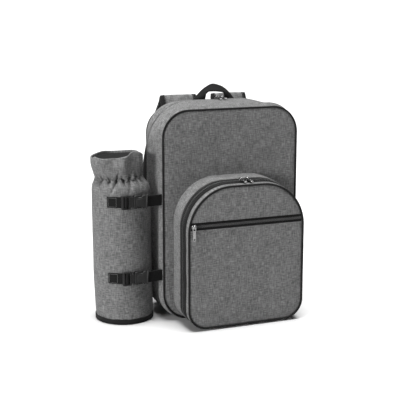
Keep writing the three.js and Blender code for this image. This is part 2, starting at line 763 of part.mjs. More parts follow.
// Bottle holder. high is a share of holderHeight, wide of holderRadius, and pleat, wave and lean are shares
// of pleatDepth, rimWave and collarLean; wave also carries the rim's tilt.
const lip = bottomBindingHeight / holderHeight;
const holderSections = [
  { high: lip + 0.002, wide: 0.985, pleat: 0, wave: 0, lean: 0 },
  { high: 0.16, wide: 1, pleat: 0, wave: 0, lean: 0 },
  { high: 0.76, wide: 1, pleat: 0, wave: 0, lean: 0 },
  { high: 0.81, wide: 0.97, pleat: 0.25, wave: 0, lean: 0.1 },
  { high: 0.835, wide: 0.88, pleat: 0.75, wave: 0, lean: 0.3 },
  { high: 0.862, wide: 0.79, pleat: 1, wave: 0, lean: 0.5 },
  { high: 0.89, wide: 0.82, pleat: 0.8, wave: 0, lean: 0.8 },
  { high: 0.93, wide: 0.87, pleat: 0.25, wave: 0.5, lean: 1 },
  { high: 0.97, wide: 0.89, pleat: 0.1, wave: 0.9, lean: 1 },
  { high: 1, wide: 0.86, pleat: 0, wave: 1, lean: 1 },
];
const holderSteps = 4 * pleatCount;

function holderRing({ high, wide, pleat, wave, lean }, inset) {
  return Array.from({ length: holderSteps }, (_, i) => {
    const turn = (2 * Math.PI * i) / holderSteps;
    const fold = pleat * pleatDepth * Math.cos(pleatCount * turn) + wave * rimWave * Math.cos(5 * turn + 1);
    const radius = wide * holderRadius + fold - inset;
    const height = high * holderHeight + wave * rimTilt * Math.sin(turn);
    return point(radius * Math.cos(turn) - lean * collarLean, radius * Math.sin(turn), height);
  });
}

function bottleHolder() {
  const plain = { pleat: 0, wave: 0, lean: 0 };
  const footWide = 1 - (bottomBindingThickness + clearance) / holderRadius;
  const floor = { ...plain, high: holderWall / holderHeight, wide: footWide };
  const wallAt = ({ high }) => (high > 0.85 ? collarWall : holderWall);
  return skin([
    [point(0, 0, 0)],
    holderRing({ ...plain, high: 0, wide: footWide }, 0),
    holderRing({ ...plain, high: lip, wide: footWide }, 0),
    ...holderSections.map((section) => holderRing(section, 0)),
    ...holderSections.slice(1).reverse().map((section) => holderRing(section, wallAt(section))),
    holderRing(floor, holderWall),
    [point(0, 0, holderWall)],
  ]);
}

// Binding sewn round the holder's bottom edge.
function bottomBinding() {
  const outer = holderRadius;
  const inner = outer - bottomBindingThickness;
  const top = bottomBindingHeight - clearance;
  const profile = [[inner, 0], [outer, 0], [outer, top - 1], [outer - 1, top], [inner, top], [inner, 0]];
  return new THREE.LatheGeometry(profile.map(([x, y]) => new THREE.Vector2(x, y)), holderSteps)
    .rotateX(Math.PI / 2);
}

const strapRadius = holderRadius + clearance + webbingThickness / 2;
const roundHolder = (angle, height) =>
  point(strapRadius * Math.cos(degrees(angle)), strapRadius * Math.sin(degrees(angle)), height);

// Webbing stands on edge: its width is upright, so its normals lie in the plane of its path.
function uprightWebbing(points) {
  const normals = points.map((at, i) => {
    const along = points[Math.min(i + 1, points.length - 1)].clone().sub(points[Math.max(i - 1, 0)]);
    return point(along.y, -along.x, 0).normalize();
  });
  return ribbon(points, normals, flatSection(holderWebbing, webbingThickness));
}

function anglesBetween(from, to, steps) {
  return Array.from({ length: steps + 1 }, (_, i) => mix(from, to, i / steps));
}

// The side of the bag at a depth, in the holder's own frame.
const bagSide = (size) => -size.halfWidth - holderCentre;
const sideSeamX = bagSide(frontSeamSize);
const socketRight = sideSeamX - socketEnd + clearance;
const buckleLine = -(holderRadius + clearance + buckleThickness / 2);
const ladderRight = socketRight - socketLength - clearance;

function ladder() {
  const high = buckleHeight / 2;
  const frame = roundedBox(THREE.Shape, -ladderLength, -high, 0, high, 2);
  const slotHigh = holderWebbing / 2 + 0.5;
  const slot = (ladderLength - ladderTongue - 2 * ladderBar) / 2;
  for (let i = 0; i < 2; i++) {
    const left = -ladderLength + ladderBar + i * (slot + ladderBar);
    frame.holes.push(roundedBox(THREE.Path, left, -slotHigh, left + slot, slotHigh, 0.8));
  }
  return plate(frame, ladderThickness).rotateX(Math.PI / 2);
}

// Half of the socket's edge from its mouth: the share of its length, and how far it steps in there, as a
// share of half its height. The step in the middle is the window where the catch is pressed.
const socketEdge = [
  { along: 0, step: 0.08 },
  { along: 0.2, step: 0 },
  { along: 0.27, step: 0.32 },
  { along: 0.55, step: 0.32 },
  { along: 0.67, step: 0 },
  { along: 0.92, step: 0.08 },
  { along: 1, step: 0.24 },
];

// The socket has a bar at its outer end that the bag's webbing goes round.
function socket() {
  const high = buckleHeight / 2;
  const lower = socketEdge.map(
    ({ along, step }) => new THREE.Vector2(along * socketLength, high * (step - 1)),
  );
  const upper = lower.map(({ x, y }) => new THREE.Vector2(x, -y)).reverse();
  const shape = new THREE.Shape([...lower, ...upper]);
  const slotHigh = holderWebbing / 2;
  shape.holes.push(roundedBox(THREE.Path, socketLength - 6, -slotHigh, socketLength - 2.4, slotHigh, 0.8));
  return plate(shape, buckleThickness).rotateX(Math.PI / 2);
}

// One of the two straps that buckle the holder to the bag, with a plain strap behind it.
function holderStrap(name, height, holder) {
  const patch = anglesBetween(patchStart, patchEnd, 4).map((angle) => roundHolder(angle, height));
  piece(`holder_webbing_${name}`, uprightWebbing(patch), "webbing", holder);
  piece(`buckle_ladder_${name}`, ladder(), "plastic", holder).position.set(ladderRight, buckleLine, height);
  const mouth = point(ladderRight + clearance, buckleLine, height);
  piece(`buckle_socket_${name}`, socket(), "plastic", holder).position.copy(mouth);
  const frontSide = bagSide(bagSize(frontSections[0])) - clearance;
  const sewn = frontSeam + frontSections[0].depth * zipSetback;
  const short = [
    point(socketRight + clearance, buckleLine, height),
    point(mix(socketRight, frontSide, 0.5), mix(buckleLine, sewn, 0.3), height),
    point(frontSide, sewn, height),
  ];
  piece(`bag_webbing_${name}`, uprightWebbing(short), "webbing", holder);
  const behind = backSections[0];
  const rearSide = bagSide(bagSize(behind)) - clearance;
  const rear = [
    point(rearSide, mix(zipPlane, backSeam, behind.depth), height),
    point(mix(rearSide, 0, 0.5), strapRadius * 0.93, height),
    ...anglesBetween(rearPatchStart, rearPatchEnd, 5).map((angle) => roundHolder(angle, height)),
  ];
  piece(`rear_webbing_${name}`, uprightWebbing(rear), "webbing", holder);
}

// Assembly: main compartment
piece("main_front_shell", frontShell(), "cloth");
piece("main_back_shell", backShell(), "cloth");
piece("main_front_piping", piping(frontSeamSize, frontSeam), "binding");
piece("main_back_piping", piping(backSeamSize, backSeam), "binding");
piece("main_zip", mainZip(), "tape");
const beforeZip = frontSections.at(-1);
const topSlope = Math.atan2(topDome * (1 - beforeZip.rise), zipSetback * (1 - beforeZip.depth));
for (const [side, x] of Object.entries(topSliders)) {
  zipPull(`main_${side}`, point(x, zipPlane, bagHeight + topDome), topSlope);
}

// Front pocket
piece("pocket_rear_gusset", pocketRearGusset(), "cloth");
piece("pocket_zip", pocketZip(), "tape");
piece("pocket_front_shell", pocketFrontShell(), "cloth");
piece("pocket_piping", piping(pocketSize(1), pocketSeam), "binding");
piece("pocket_front_zip", frontZip(), "tape");
const pocketSlope = Math.atan2(pocketFall, pocketDepth);
for (const [side, x] of Object.entries(pocketSliders)) {
  zipPull(`pocket_${side}`, point(x, pocketZipPlane, pocketZipSize(pocketZipPlane).top), pocketSlope);
}
const frontSliderX = sliderLength / 2 - insidePiping(frontZipHeight + sliderWidth / 2);
const frontSliderY = pocketSeam - pocketSwell + clearance;
zipPull("pocket_front", point(frontSliderX, frontSliderY, frontZipHeight), Math.PI / 2);

// Handle and shoulder straps
piece("carry_handle", handle(), "webbing");
const mirrored = (geometry) => facedOut(geometry.scale(-1, 1, 1));
for (const [name, turn] of [["left", mirrored], ["right", facedOut]]) {
  const stations = padStations();
  const end = stations.at(-1);
  piece(`shoulder_pad_${name}`, turn(shoulderPad(stations)), "cloth");
  piece(`shoulder_binding_${name}`, turn(padBinding(stations)), "binding");
  piece(`strap_adjuster_${name}`, turn(adjuster(end)), "plastic");
  piece(`strap_webbing_${name}`, turn(strapStrip(end)), "webbing");
}

// Bottle holder, in a frame on its own axis
const holder = new THREE.Group();
holder.position.x = holderCentre;
backpack.add(holder);
piece("bottle_holder", bottleHolder(), "cloth", holder);
piece("holder_bottom_binding", bottomBinding(), "binding", holder);
holderStrap("upper", upperStrapHeight, holder);
holderStrap("lower", lowerStrapHeight, holder);

export default backpack;
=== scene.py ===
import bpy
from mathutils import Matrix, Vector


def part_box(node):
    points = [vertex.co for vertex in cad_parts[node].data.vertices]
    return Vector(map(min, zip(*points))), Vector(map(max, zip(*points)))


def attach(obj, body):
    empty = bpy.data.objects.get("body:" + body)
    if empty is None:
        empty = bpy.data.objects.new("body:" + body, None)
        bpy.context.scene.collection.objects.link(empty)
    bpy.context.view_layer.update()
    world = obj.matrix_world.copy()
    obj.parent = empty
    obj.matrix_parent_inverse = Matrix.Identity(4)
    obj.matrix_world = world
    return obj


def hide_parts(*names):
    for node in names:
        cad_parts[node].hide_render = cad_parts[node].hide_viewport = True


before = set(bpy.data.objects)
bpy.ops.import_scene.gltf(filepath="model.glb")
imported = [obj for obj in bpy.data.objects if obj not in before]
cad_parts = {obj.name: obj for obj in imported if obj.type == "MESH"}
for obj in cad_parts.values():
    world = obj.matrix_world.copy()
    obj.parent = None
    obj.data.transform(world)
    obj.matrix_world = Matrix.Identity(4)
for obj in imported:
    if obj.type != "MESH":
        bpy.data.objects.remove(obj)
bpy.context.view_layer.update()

import math

import bmesh
import bpy
import numpy as np
from mathutils import Matrix, Vector

# Main compartment, front half: the front panel and the strip round it as far as the zip. Grey melange
# polyester over foam, cut flat, sewn along a piped edge and turned, so that the panel's edge rolls and the
# strip keeps a ridge where its foam stops. All sizes in this file are millimetres until a mesh is made.
MM = 0.001
BAG_HALF, BAG_TOP, SEAM_LIFT = 131, 385, 3
FRONT_SEAM, ZIP_LINE, BACK_SEAM = -60, 24, 60
WALL = 5
PIPE = 1.8
TUCK = 1.48  # how far a panel or a strip starts inside and behind the line of its piping
RUNS = (16, 26, 44, 26, 14)  # points along half the bottom, a low corner, a side, a top corner, half the top
COLUMNS = 2 * sum(RUNS)
ZIP_FROM = RUNS[0] + RUNS[1]  # the main zip starts where the low corner ends
LOW_CORNER, TOP_CORNER = 50, 48  # radii of the low and the top corners at both seams
CORNER_GROWTH = 38  # how much rounder the top corners are at the zip
SPINE, POCKET_SPINE = (110, 290), (90, 180)  # heights between which a panel's rings close on a line
# Half width, bottom, top, and the radii of the low and top corners.
ZIP_SIZE = (133, 0, 394, LOW_CORNER, TOP_CORNER + CORNER_GROWTH)

# Depth behind the seam, and how far the sides stand out, the top rises and the bottom lifts there.
FRONT_STRIP = [
    (1.48, -1.48, -1.48, 4.48), (2.6, -0.4, -0.3, 3.2), (4, 0.4, 0.7, 2.4), (6, 1.0, 1.8, 1.6),
    (11, 2.4, 4.6, 0.8), (15.2, 3.8, 7.0, 0.3), (17.4, 3.9, 7.2, 0.2), (19.2, 2.4, 5.6, 0.2),
    (21, 1.9, 5.1, 0.1), (30, 1.5, 5.7, 0), (45, 1.4, 7.0, 0), (62, 1.8, 8.4, 0), (76, 2.1, 9.2, 0),
    (79, 2, 9, 0), (81, 1.3, 8.4, 0),
]
# Distance inside the seam, and how far the panel stands in front of it there.
FRONT_ROLL = [(1.48, -1.48), (2.3, -0.2), (3.4, 0.5), (5, 0.85), (9, 1.3), (14, 1.5), (40, 1.6), (131, 1.9)]
# Soft creases of the front panel: from x, z to x, z, half width, and how far the cloth falls back.
FRONT_CREASES = [
    (-108, 40, -121, 92, 7, 2.2), (-112, 22, -103, 62, 5, -1.3), (-96, 14, -84, 20, 8, 1.2),
    (92, 350, 108, 300, 12, 1.0), (-108, 352, -84, 330, 9, 0.8), (-112, 250, -118, 170, 10, 0.7),
    (104, 250, 118, 214, 8, 1.1), (20, 330, 66, 322, 14, 0.5), (-60, 300, -20, 322, 16, 0.5),
]


def linear(code):
    """An sRGB hex colour as linear red, green and blue, and full alpha."""
    parts = [int(code[i:i + 2], 16) / 255 for i in (1, 3, 5)]
    return (*[p / 12.92 if p <= 0.04045 else ((p + 0.055) / 1.055) ** 2.4 for p in parts], 1)


def add(tree, kind, settings=(), links=()):
    """Adds a node, with settings by input or property and links by input."""
    node = tree.nodes.new(kind)
    for key, value in dict(settings).items():
        if isinstance(key, str) and hasattr(node, key):
            setattr(node, key, value)
        else:
            node.inputs[key].default_value = value
    for key, output in dict(links).items():
        tree.links.new(output, node.inputs[key])
    return node


def fresh(name):
    """A new material and its node tree, emptied."""
    finish = bpy.data.materials.new(name)
    finish.use_nodes = True
    tree = finish.node_tree
    tree.nodes.clear()
    return finish, tree


def surfaced(finish, tree, skin):
    """Joins a surface's node to a material's output, and gives the material back."""
    add(tree, "ShaderNodeOutputMaterial", {}, {"Surface": skin.outputs[0]})
    return finish


def outline(half, bottom, top, low, high):
    """Round-cornered outline as x and z, from the bottom middle up the right side and down the left."""
    run = [np.linspace(0, 1, n, endpoint=False) for n in RUNS]
    a, b = np.radians(90 * run[1] - 90), np.radians(90 * run[3])
    side = bottom + low + (top - high - bottom - low) * run[2]
    right = np.concatenate([
        np.stack([(half - low) * run[0], np.full(RUNS[0], float(bottom))], 1),
        np.stack([half - low + low * np.cos(a), bottom + low + low * np.sin(a)], 1),
        np.stack([np.full(RUNS[2], float(half)), side], 1),
        np.stack([half - high + high * np.cos(b), top - high + high * np.sin(b)], 1),
        np.stack([(half - high) * (1 - run[4]), np.full(RUNS[4], float(top))], 1),
        [[0, top]],
    ])
    return np.concatenate([right, right[-2:0:-1] * [-1, 1]])


def inset(size, by):
    """The size of an outline smaller by a distance on every side."""
    half, bottom, top, low, high = size
    return (half - by, bottom + by, top - by, max(low - by, 1), max(high - by, 1))


def ring(points, depth):
    """An outline's points at a depth, the same for all or one for each."""
    return np.stack([points[:, 0], np.broadcast_to(depth, len(points)), points[:, 1]], 1)


def eased(at, table, column):
    """A column of a table at a value of its first column, on a smooth curve through its rows."""
    x, y = np.array([(row[0], row[column]) for row in table], float).T
    slope = np.gradient(y, x)
    i = np.clip(np.searchsorted(x, at) - 1, 0, len(x) - 2)
    span = x[i + 1] - x[i]
    t = (at - x[i]) / span
    return (y[i] * (1 + 2 * t) * (1 - t) ** 2 + slope[i] * span * t * (1 - t) ** 2
            + y[i + 1] * t * t * (3 - 2 * t) - slope[i + 1] * span * t * t * (1 - t))


def uneven(points, size, seed):
    """Smooth unevenness from -1 to 1, with humps about size millimetres apart."""
    at = np.asarray(points, float) / size + seed * 17.31
    cell = np.floor(at).astype(np.int64)
    part = at - cell
    part = part * part * (3 - 2 * part)
    total = 0
    for corner in np.ndindex(2, 2, 2):
        key = ((cell + corner) * [374761393, 668265263, 1274126177]).sum(-1) & 0xFFFFFFFF
        key = ((key ^ (key >> 13)) * 1103515245) & 0xFFFFFFFF
        key = ((key ^ (key >> 16)) * 668265263) & 0xFFFFFFFF
        total = total + ((key >> 8) / 2**24) * np.prod(np.where(corner, part, 1 - part), axis=-1)
    return 2 * total - 1


def creased(x, z, creases):
    """How far soft creases push a panel back at x, z."""
    total = np.zeros(len(x))
    for x0, z0, x1, z1, width, depth in creases:
        dx, dz = x1 - x0, z1 - z0
        share = np.clip(((x - x0) * dx + (z - z0) * dz) / (dx * dx + dz * dz), 0, 1)
        away = np.hypot(x - x0 - share * dx, z - z0 - share * dz)
        total += depth * np.exp(-((away / width) ** 2))
    return total


def inside(x, z, size):
    """Distance from points to an outline, from inside it."""
    half, bottom, top, low, high = size
    under = z < (bottom + top) / 2
    radius = np.where(under, low, high)
    side = np.abs(x) - (half - radius)
    end = np.where(under, bottom + radius - z, z - (top - radius))
    outside = np.hypot(np.maximum(side, 0), np.maximum(end, 0))
    return radius - outside - np.minimum(np.maximum(side, end), 0)


def shell(name, rings, flat=(), looped=False):
    """Joins rings of points into a mesh. Its map, in millimetres, follows x and z on the flat spans between
    rings and lengths round and across on the others. Ends that meet on a line are closed along it."""
    rings = np.asarray(rings, float)
    rows, columns = rings.shape[:2]
    spans = rows if looped else rows - 1
    r, c = np.divmod(np.arange(spans * columns), columns)
    up, on = (r + 1) % rows, (c + 1) % columns
    corners = np.stack([r * columns + c, r * columns + on, up * columns + on, up * columns + c], 1)
    mesh = bpy.data.meshes.new(name)
    mesh.from_pydata(rings.reshape(-1, 3) * MM, [], corners.tolist())
    step = np.linalg.norm(np.roll(rings, -1, axis=1) - rings, axis=2)
    middle = rings[rows // 3]
    around = np.concatenate([[0], np.cumsum(np.linalg.norm(np.roll(middle, -1, axis=0) - middle, axis=1))])
    gap = np.linalg.norm(np.roll(rings, -1, axis=0) - rings, axis=2)
    across = np.concatenate([[0], np.cumsum(np.median(gap, axis=1))])
    lengths = np.stack([
        np.stack([around[c], across[r]], 1), np.stack([around[c + 1], across[r]], 1),
        np.stack([around[c + 1], across[r + 1]], 1), np.stack([around[c], across[r + 1]], 1),
    ], 1)
    planar = rings.reshape(-1, 3)[corners][:, :, [0, 2]]
    chosen = np.where(np.isin(r, list(flat))[:, None, None], planar, lengths)
    threads = mesh.uv_layers.new(name="threads")
    threads.data.foreach_set("uv", chosen.astype(np.float32).ravel())
    mesh.polygons.foreach_set("use_smooth", np.ones(len(corners), bool))
    work = bmesh.new()
    work.from_mesh(mesh)
    if not looped:
        for end in (0, rows - 1):
            if step[end].max() > 1e-6:
                work.verts.ensure_lookup_table()
                edge = [work.verts[end * columns + i] for i in range(columns)]
                if len({tuple(round(v, 7) for v in p.co) for p in edge}) > columns * 0.8:
                    work.faces.new(edge)
    bmesh.ops.remove_doubles(work, verts=work.verts, dist=1e-6)
    bmesh.ops.dissolve_degenerate(work, edges=work.edges, dist=1e-7)
    bmesh.ops.recalc_face_normals(work, faces=work.faces)
    work.to_mesh(mesh)
    work.free()
    return mesh


def sewn(name, mesh, finish, stands_for=(), body="backpack"):
    """Adds a finished mesh as a piece that rides on a body and stands for solids."""
    piece = bpy.data.objects.new(name, mesh)
    bpy.context.scene.collection.objects.link(piece)
    mesh.materials.clear()
    mesh.materials.append(finish)
    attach(piece, body)
    if stands_for:
        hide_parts(*stands_for)
    return piece


def woven_melange():
    """Melange polyester, plain weave of dark and pale yarns that vary along their length, which the eye
    reads as a fine crosshatch of greys. The yarns are 0.35 mm apart, drawn at 1.1 mm so that they show."""
    finish, tree = fresh("melange_polyester_plain_weave")
    place = add(tree, "ShaderNodeUVMap", {"uv_map": "threads"}).outputs["UV"]
    streaks = []
    for width, length, turn in ((1.5, 11, (1, 0)), (1.5, 13, (0, 1))):
        size = (1 / length, 1 / width, 1) if turn[0] else (1 / width, 1 / length, 1)
        stretched = add(tree, "ShaderNodeVectorMath", {"operation": "MULTIPLY", 1: size}, {0: place})
        streaks.append(add(tree, "ShaderNodeTexNoise",
                           {"noise_dimensions": "2D", "Scale": 1, "Detail": 2, "Roughness": 0.65},
                           {"Vector": stretched.outputs[0]}).outputs["Fac"])
    both = add(tree, "ShaderNodeMath", {"operation": "ADD"}, {0: streaks[0], 1: streaks[1]})
    patch = add(tree, "ShaderNodeTexNoise", {"noise_dimensions": "2D", "Scale": 0.045, "Detail": 2},
                {"Vector": place}).outputs["Fac"]
    tone = add(tree, "ShaderNodeMath", {"operation": "MULTIPLY_ADD", 1: 0.2}, {0: patch, 2: both.outputs[0]})
    share = add(tree, "ShaderNodeMapRange", {"From Min": 0.87, "From Max": 1.48}, {"Value": tone.outputs[0]})
    yarns = []
    for axis in ("X", "Y"):
        yarns.append(add(tree, "ShaderNodeTexWave",
                         {"wave_type": "BANDS", "bands_direction": axis, "Scale": 1 / (2 * 1.1) * 0.62,
                          "Distortion": 0.6, "Detail": 0},
                         {"Vector": place}).outputs["Fac"])
    weave = add(tree, "ShaderNodeMath", {"operation": "MULTIPLY"}, {0: yarns[0], 1: yarns[1]})
    grey = add(tree, "ShaderNodeMix",
               {"data_type": "RGBA", 6: linear("#454545"), 7: linear("#707070")}, {0: share.outputs[0]})
    shade = add(tree, "ShaderNodeMapRange", {"To Min": 0.86, "To Max": 1.1}, {"Value": weave.outputs[0]})
    colour = add(tree, "ShaderNodeVectorMath", {"operation": "SCALE"},
                 {0: grey.outputs[2], "Scale": shade.outputs[0]})
    bump = add(tree, "ShaderNodeBump", {"Strength": 0.35, "Distance": 0.00025}, {"Height": weave.outputs[0]})
    skin = add(tree, "ShaderNodeBsdfPrincipled",
               {"Roughness": 0.92, "Specular IOR Level": 0.08, "Sheen Weight": 0.04, "Sheen Roughness": 0.5},
               {"Base Color": colour.outputs[0], "Normal": bump.outputs[0]})
    return surfaced(finish, tree, skin)


melange = woven_melange()

POCKET_SEAM = -134
POCKET_ZIP = -108
# The pocket's outline where it is sewn to the bag, and at its front seam.
POCKET_REAR = (112.5, 6, 266, 37, 82)
POCKET_FRONT = (110.5, 4.5, 258, 35, 80)
FRONT_EDGE = (BAG_HALF, SEAM_LIFT, BAG_TOP, LOW_CORNER, TOP_CORNER)


def front_panel(x, z):
    """Depth of the front panel at x, z: its rolled edge, the pull of the pocket's seam, and its creases."""
    far = inside(x, z, FRONT_EDGE)
    from_pocket = -inside(x, z, POCKET_REAR)
    pulled = np.where(z > 190, 1.1, 0.5) * np.exp(-((np.maximum(from_pocket, 0) / 16) ** 2))
    soft = np.clip((far - 6) / 30, 0, 1)
    points = np.stack([x, 0 * x, z], 1)
    depth = FRONT_SEAM - np.interp(far, *np.array(FRONT_ROLL).T)
    return (depth + soft * (pulled + creased(x, z, FRONT_CREASES))
            + soft * (0.7 * uneven(points, 70, 3) + 0.3 * uneven(points, 24, 4)))


def panel_rings(size, surface, roll, steps, spine):
    """Rings of a panel from a line up its middle out to its seam."""
    edge = [outline(*inset(size, by)) for by, _ in roll if by <= 14]
    core = edge[-1]
    line = np.stack([np.zeros(len(core)), np.clip(core[:, 1], *spine)], 1)
    rings = [line + (core - line) * share for share in np.linspace(0, 1, steps)[:-1]] + edge[::-1]
    return [ring(points, surface(points[:, 0], points[:, 1])) for points in rings]


def unit(vectors):
    return vectors / np.linalg.norm(vectors, axis=-1)[..., None]


def out_of(points):
    """Directions out of an outline at its points, as x and z."""
    along = np.roll(points, -1, axis=0) - np.roll(points, 1, axis=0)
    return unit(np.stack([along[:, 1], -along[:, 0]], 1))


def stood(normal):
    """Directions out of an outline, which are pairs of x and z, as vectors."""
    return np.stack([normal[:, 0], 0 * normal[:, 0], normal[:, 1]], 1)


def lined(name, rings, outer, size, levels, spine):
    """A mesh of rings whose inner face closes on a line up the middle too. That face and the first rings, as
    many as outer, are mapped by x and z."""
    core = outline(*size)
    line = np.stack([np.zeros(len(core)), np.clip(core[:, 1], *spine)], 1)
    rings = rings + [ring(core, levels[0]), ring(line, levels[1])]
    return shell(name, rings, set(range(outer)) | {len(rings) - 2})


def strip_ring(size, depth, folds):
    """A ring of a side strip, moved out by folds, and kept off the floor."""
    points = outline(*size)
    level = ring(points, depth)
    moved = points + out_of(points) * folds(level)[:, None]
    moved[:, 1] = np.maximum(moved[:, 1], 0)
    return ring(moved, depth)


def opened(first, lead, run):
    """How far a zip's slit is open along an outline. It starts to open a few points before its first one, on
    both sides, and is open after a run of points."""
    i = np.arange(COLUMNS)
    up_side = np.minimum(i, COLUMNS - i)
    return np.clip((up_side - first + lead) / run, 0, 1)


MAIN_OPEN = opened(ZIP_FROM, 3, 3)


def slit(half, share):
    """The distance of a slit's rim from the zip's middle, which is a seam's where the slit is closed."""
    return 0.15 + (half - 0.15) * share


def front_folds(depth):
    def folds(level):
        ease = np.clip((depth - 3) / 12, 0, 1) * np.clip((80 - depth) / 10, 0, 1)
        pucker = 0.3 * np.cos(level[:, 0] * 0.42 + level[:, 2] * 0.39) * math.exp(-((depth - 6) / 7) ** 2)
        side = (np.abs(level[:, 0]) > 120) * np.sin(np.pi * np.clip((level[:, 2] - 40) / 310, 0, 1))
        return (ease * (0.8 * uneven(level, 60, 5) + 0.35 * uneven(level, 22, 6))
                - side * 1.2 * math.exp(-((depth - 45) / 24) ** 2) + pucker)
    return folds


def front_size(depth):
    """The strip's outline at a depth behind its seam. Its top corners open out towards the zip."""
    out, rise, lift = (eased(depth, FRONT_STRIP, k) for k in (1, 2, 3))
    corner = TOP_CORNER + CORNER_GROWTH * depth / (ZIP_LINE - FRONT_SEAM)
    return (BAG_HALF + out, lift, BAG_TOP + rise, LOW_CORNER, corner)


def front_half():
    panel = panel_rings(FRONT_EDGE, front_panel, FRONT_ROLL, 20, SPINE)
    rings = list(panel[:-1])
    depths = np.unique(np.concatenate([[row[0] for row in FRONT_STRIP], np.arange(8, 78, 2.2)]))
    for depth in depths:
        level = FRONT_SEAM + depth
        if depth > 78:
            level = np.minimum(level, ZIP_LINE - slit(3, MAIN_OPEN))
        elif depth > 74:
            level = level + (1 - MAIN_OPEN) * (depth - 74) / 4 * 2.5
        rings.append(strip_ring(front_size(depth), level, front_folds(depth)))
    rim = ZIP_LINE - slit(3, MAIN_OPEN)
    rings[-1][:, 1] = rim
    rings.append(ring(outline(*inset(ZIP_SIZE, 1.6)), rim + 0.05))
    rings.append(ring(outline(*inset(ZIP_SIZE, WALL)), rim))
    for depth in (60, 30, 12):
        rings.append(ring(outline(*inset(front_size(depth), WALL + 1)), FRONT_SEAM + depth))
    rings.append(ring(outline(*inset(FRONT_EDGE, WALL + 1)), FRONT_SEAM + 6.5))
    return lined("main_front_cloth", rings, len(panel) - 1, inset(FRONT_EDGE, 16),
                 (FRONT_SEAM + 4.5, FRONT_SEAM + 4.5), SPINE)


sewn("main_front_cloth", front_half(), melange, ["main_front_shell"])

# Main compartment, back half: the strip behind the zip and the back panel, the same cloth over foam. The
# strip draws in towards the back seam, so the back panel is narrower and lower than the front one.
BACK_EDGE = (120, SEAM_LIFT, 380, LOW_CORNER, TOP_CORNER)
# Depth, how far the sides draw in, the top drops and the bottom lifts from their places at the zip, and the
# radius of the top corners.
BACK_STRIP = [
    (27, 1.0, 0.6, 0, 85), (29, 1.3, 0.1, 0, 82), (33, 3.4, 0.5, 0, 75), (38.4, 5.8, 1.7, 0, 67),
    (45, 8.2, 3.8, 0.2, 60), (51, 9.8, 6.4, 0.5, 56), (55.5, 11.4, 10.4, 1.6, 52),
    (57.6, 13.3, 13.9, 3.0, 48.5), (58.52, 14.48, 15.48, 4.48, 46.52),
]
BACK_ROLL = [(1.48, -1.48), (2.3, -0.6), (3.4, -0.3), (5, -0.1), (9, 0), (14, 0), (120, 0.6)]


def back_panel(x, z):
    far = inside(x, z, BACK_EDGE)
    points = np.stack([x, 0 * x + 60, z], 1)
    depth = BACK_SEAM + np.interp(far, *np.array(BACK_ROLL).T)
    soft = np.clip((far - 6) / 30, 0, 1)
    return depth + soft * (0.5 * uneven(points, 80, 8) + 0.2 * uneven(points, 26, 9) - 0.5)


def back_folds(depth):
    def folds(level):
        ease = np.clip((depth - 27) / 6, 0, 1) * np.clip((57 - depth) / 6, 0, 1)
        return ease * (0.7 * uneven(level, 50, 10) + 0.3 * uneven(level, 20, 11))
    return folds


def back_size(depth):
    narrow, drop, lift, corner = (eased(depth, BACK_STRIP, k) for k in (1, 2, 3, 4))
    return (ZIP_SIZE[0] - narrow, lift, ZIP_SIZE[2] - drop, LOW_CORNER, corner)


def back_half():
    panel = panel_rings(BACK_EDGE, back_panel, BACK_ROLL, 20, SPINE)
    rings = list(panel[:-1])
    depths = np.unique(np.concatenate([[row[0] for row in BACK_STRIP], np.arange(31, 57, 2)]))[::-1]
    for depth in depths:
        level = depth
        if 28 < depth < 33:
            level = depth - (1 - MAIN_OPEN) * (33 - depth) / 4 * 2.5
        rings.append(strip_ring(back_size(depth), level, back_folds(depth)))
    rim = ZIP_LINE + slit(3, MAIN_OPEN)
    rings[-1][:, 1] = rim
    rings.append(ring(outline(*inset(ZIP_SIZE, 1.6)), rim - 0.05))
    rings.append(ring(outline(*inset(ZIP_SIZE, WALL)), rim))
    for depth in (38, 48):
        rings.append(ring(outline(*inset(back_size(depth), WALL)), depth))
    return lined("main_back_cloth", rings, len(panel) - 1, inset(BACK_EDGE, 14),
                 (BACK_SEAM - WALL, BACK_SEAM - WALL), SPINE)


sewn("main_back_cloth", back_half(), melange, ["main_back_shell"])

# Piping: black woven bias tape folded round a 3 mm cord and caught in the seams of the front panel, the back
# panel and the pocket. The tape's ribs run across the cord and it tightens a little at each stitch.


def swept(name, path, side, up, section, looped=False):
    """A section of across and up pairs carried along a path."""
    section = np.asarray(section, float)
    if section.ndim == 2:
        section = np.broadcast_to(section, (len(path), *section.shape))
    rings = path[:, None] + section[..., :1] * side[:, None] + section[..., 1:] * up[:, None]
    return shell(name, rings, looped=looped)


def round_section(radius, sides=10):
    turn = np.linspace(0, 2 * np.pi, sides, endpoint=False)
    return np.stack([radius * np.cos(turn), radius * np.sin(turn)], 1)


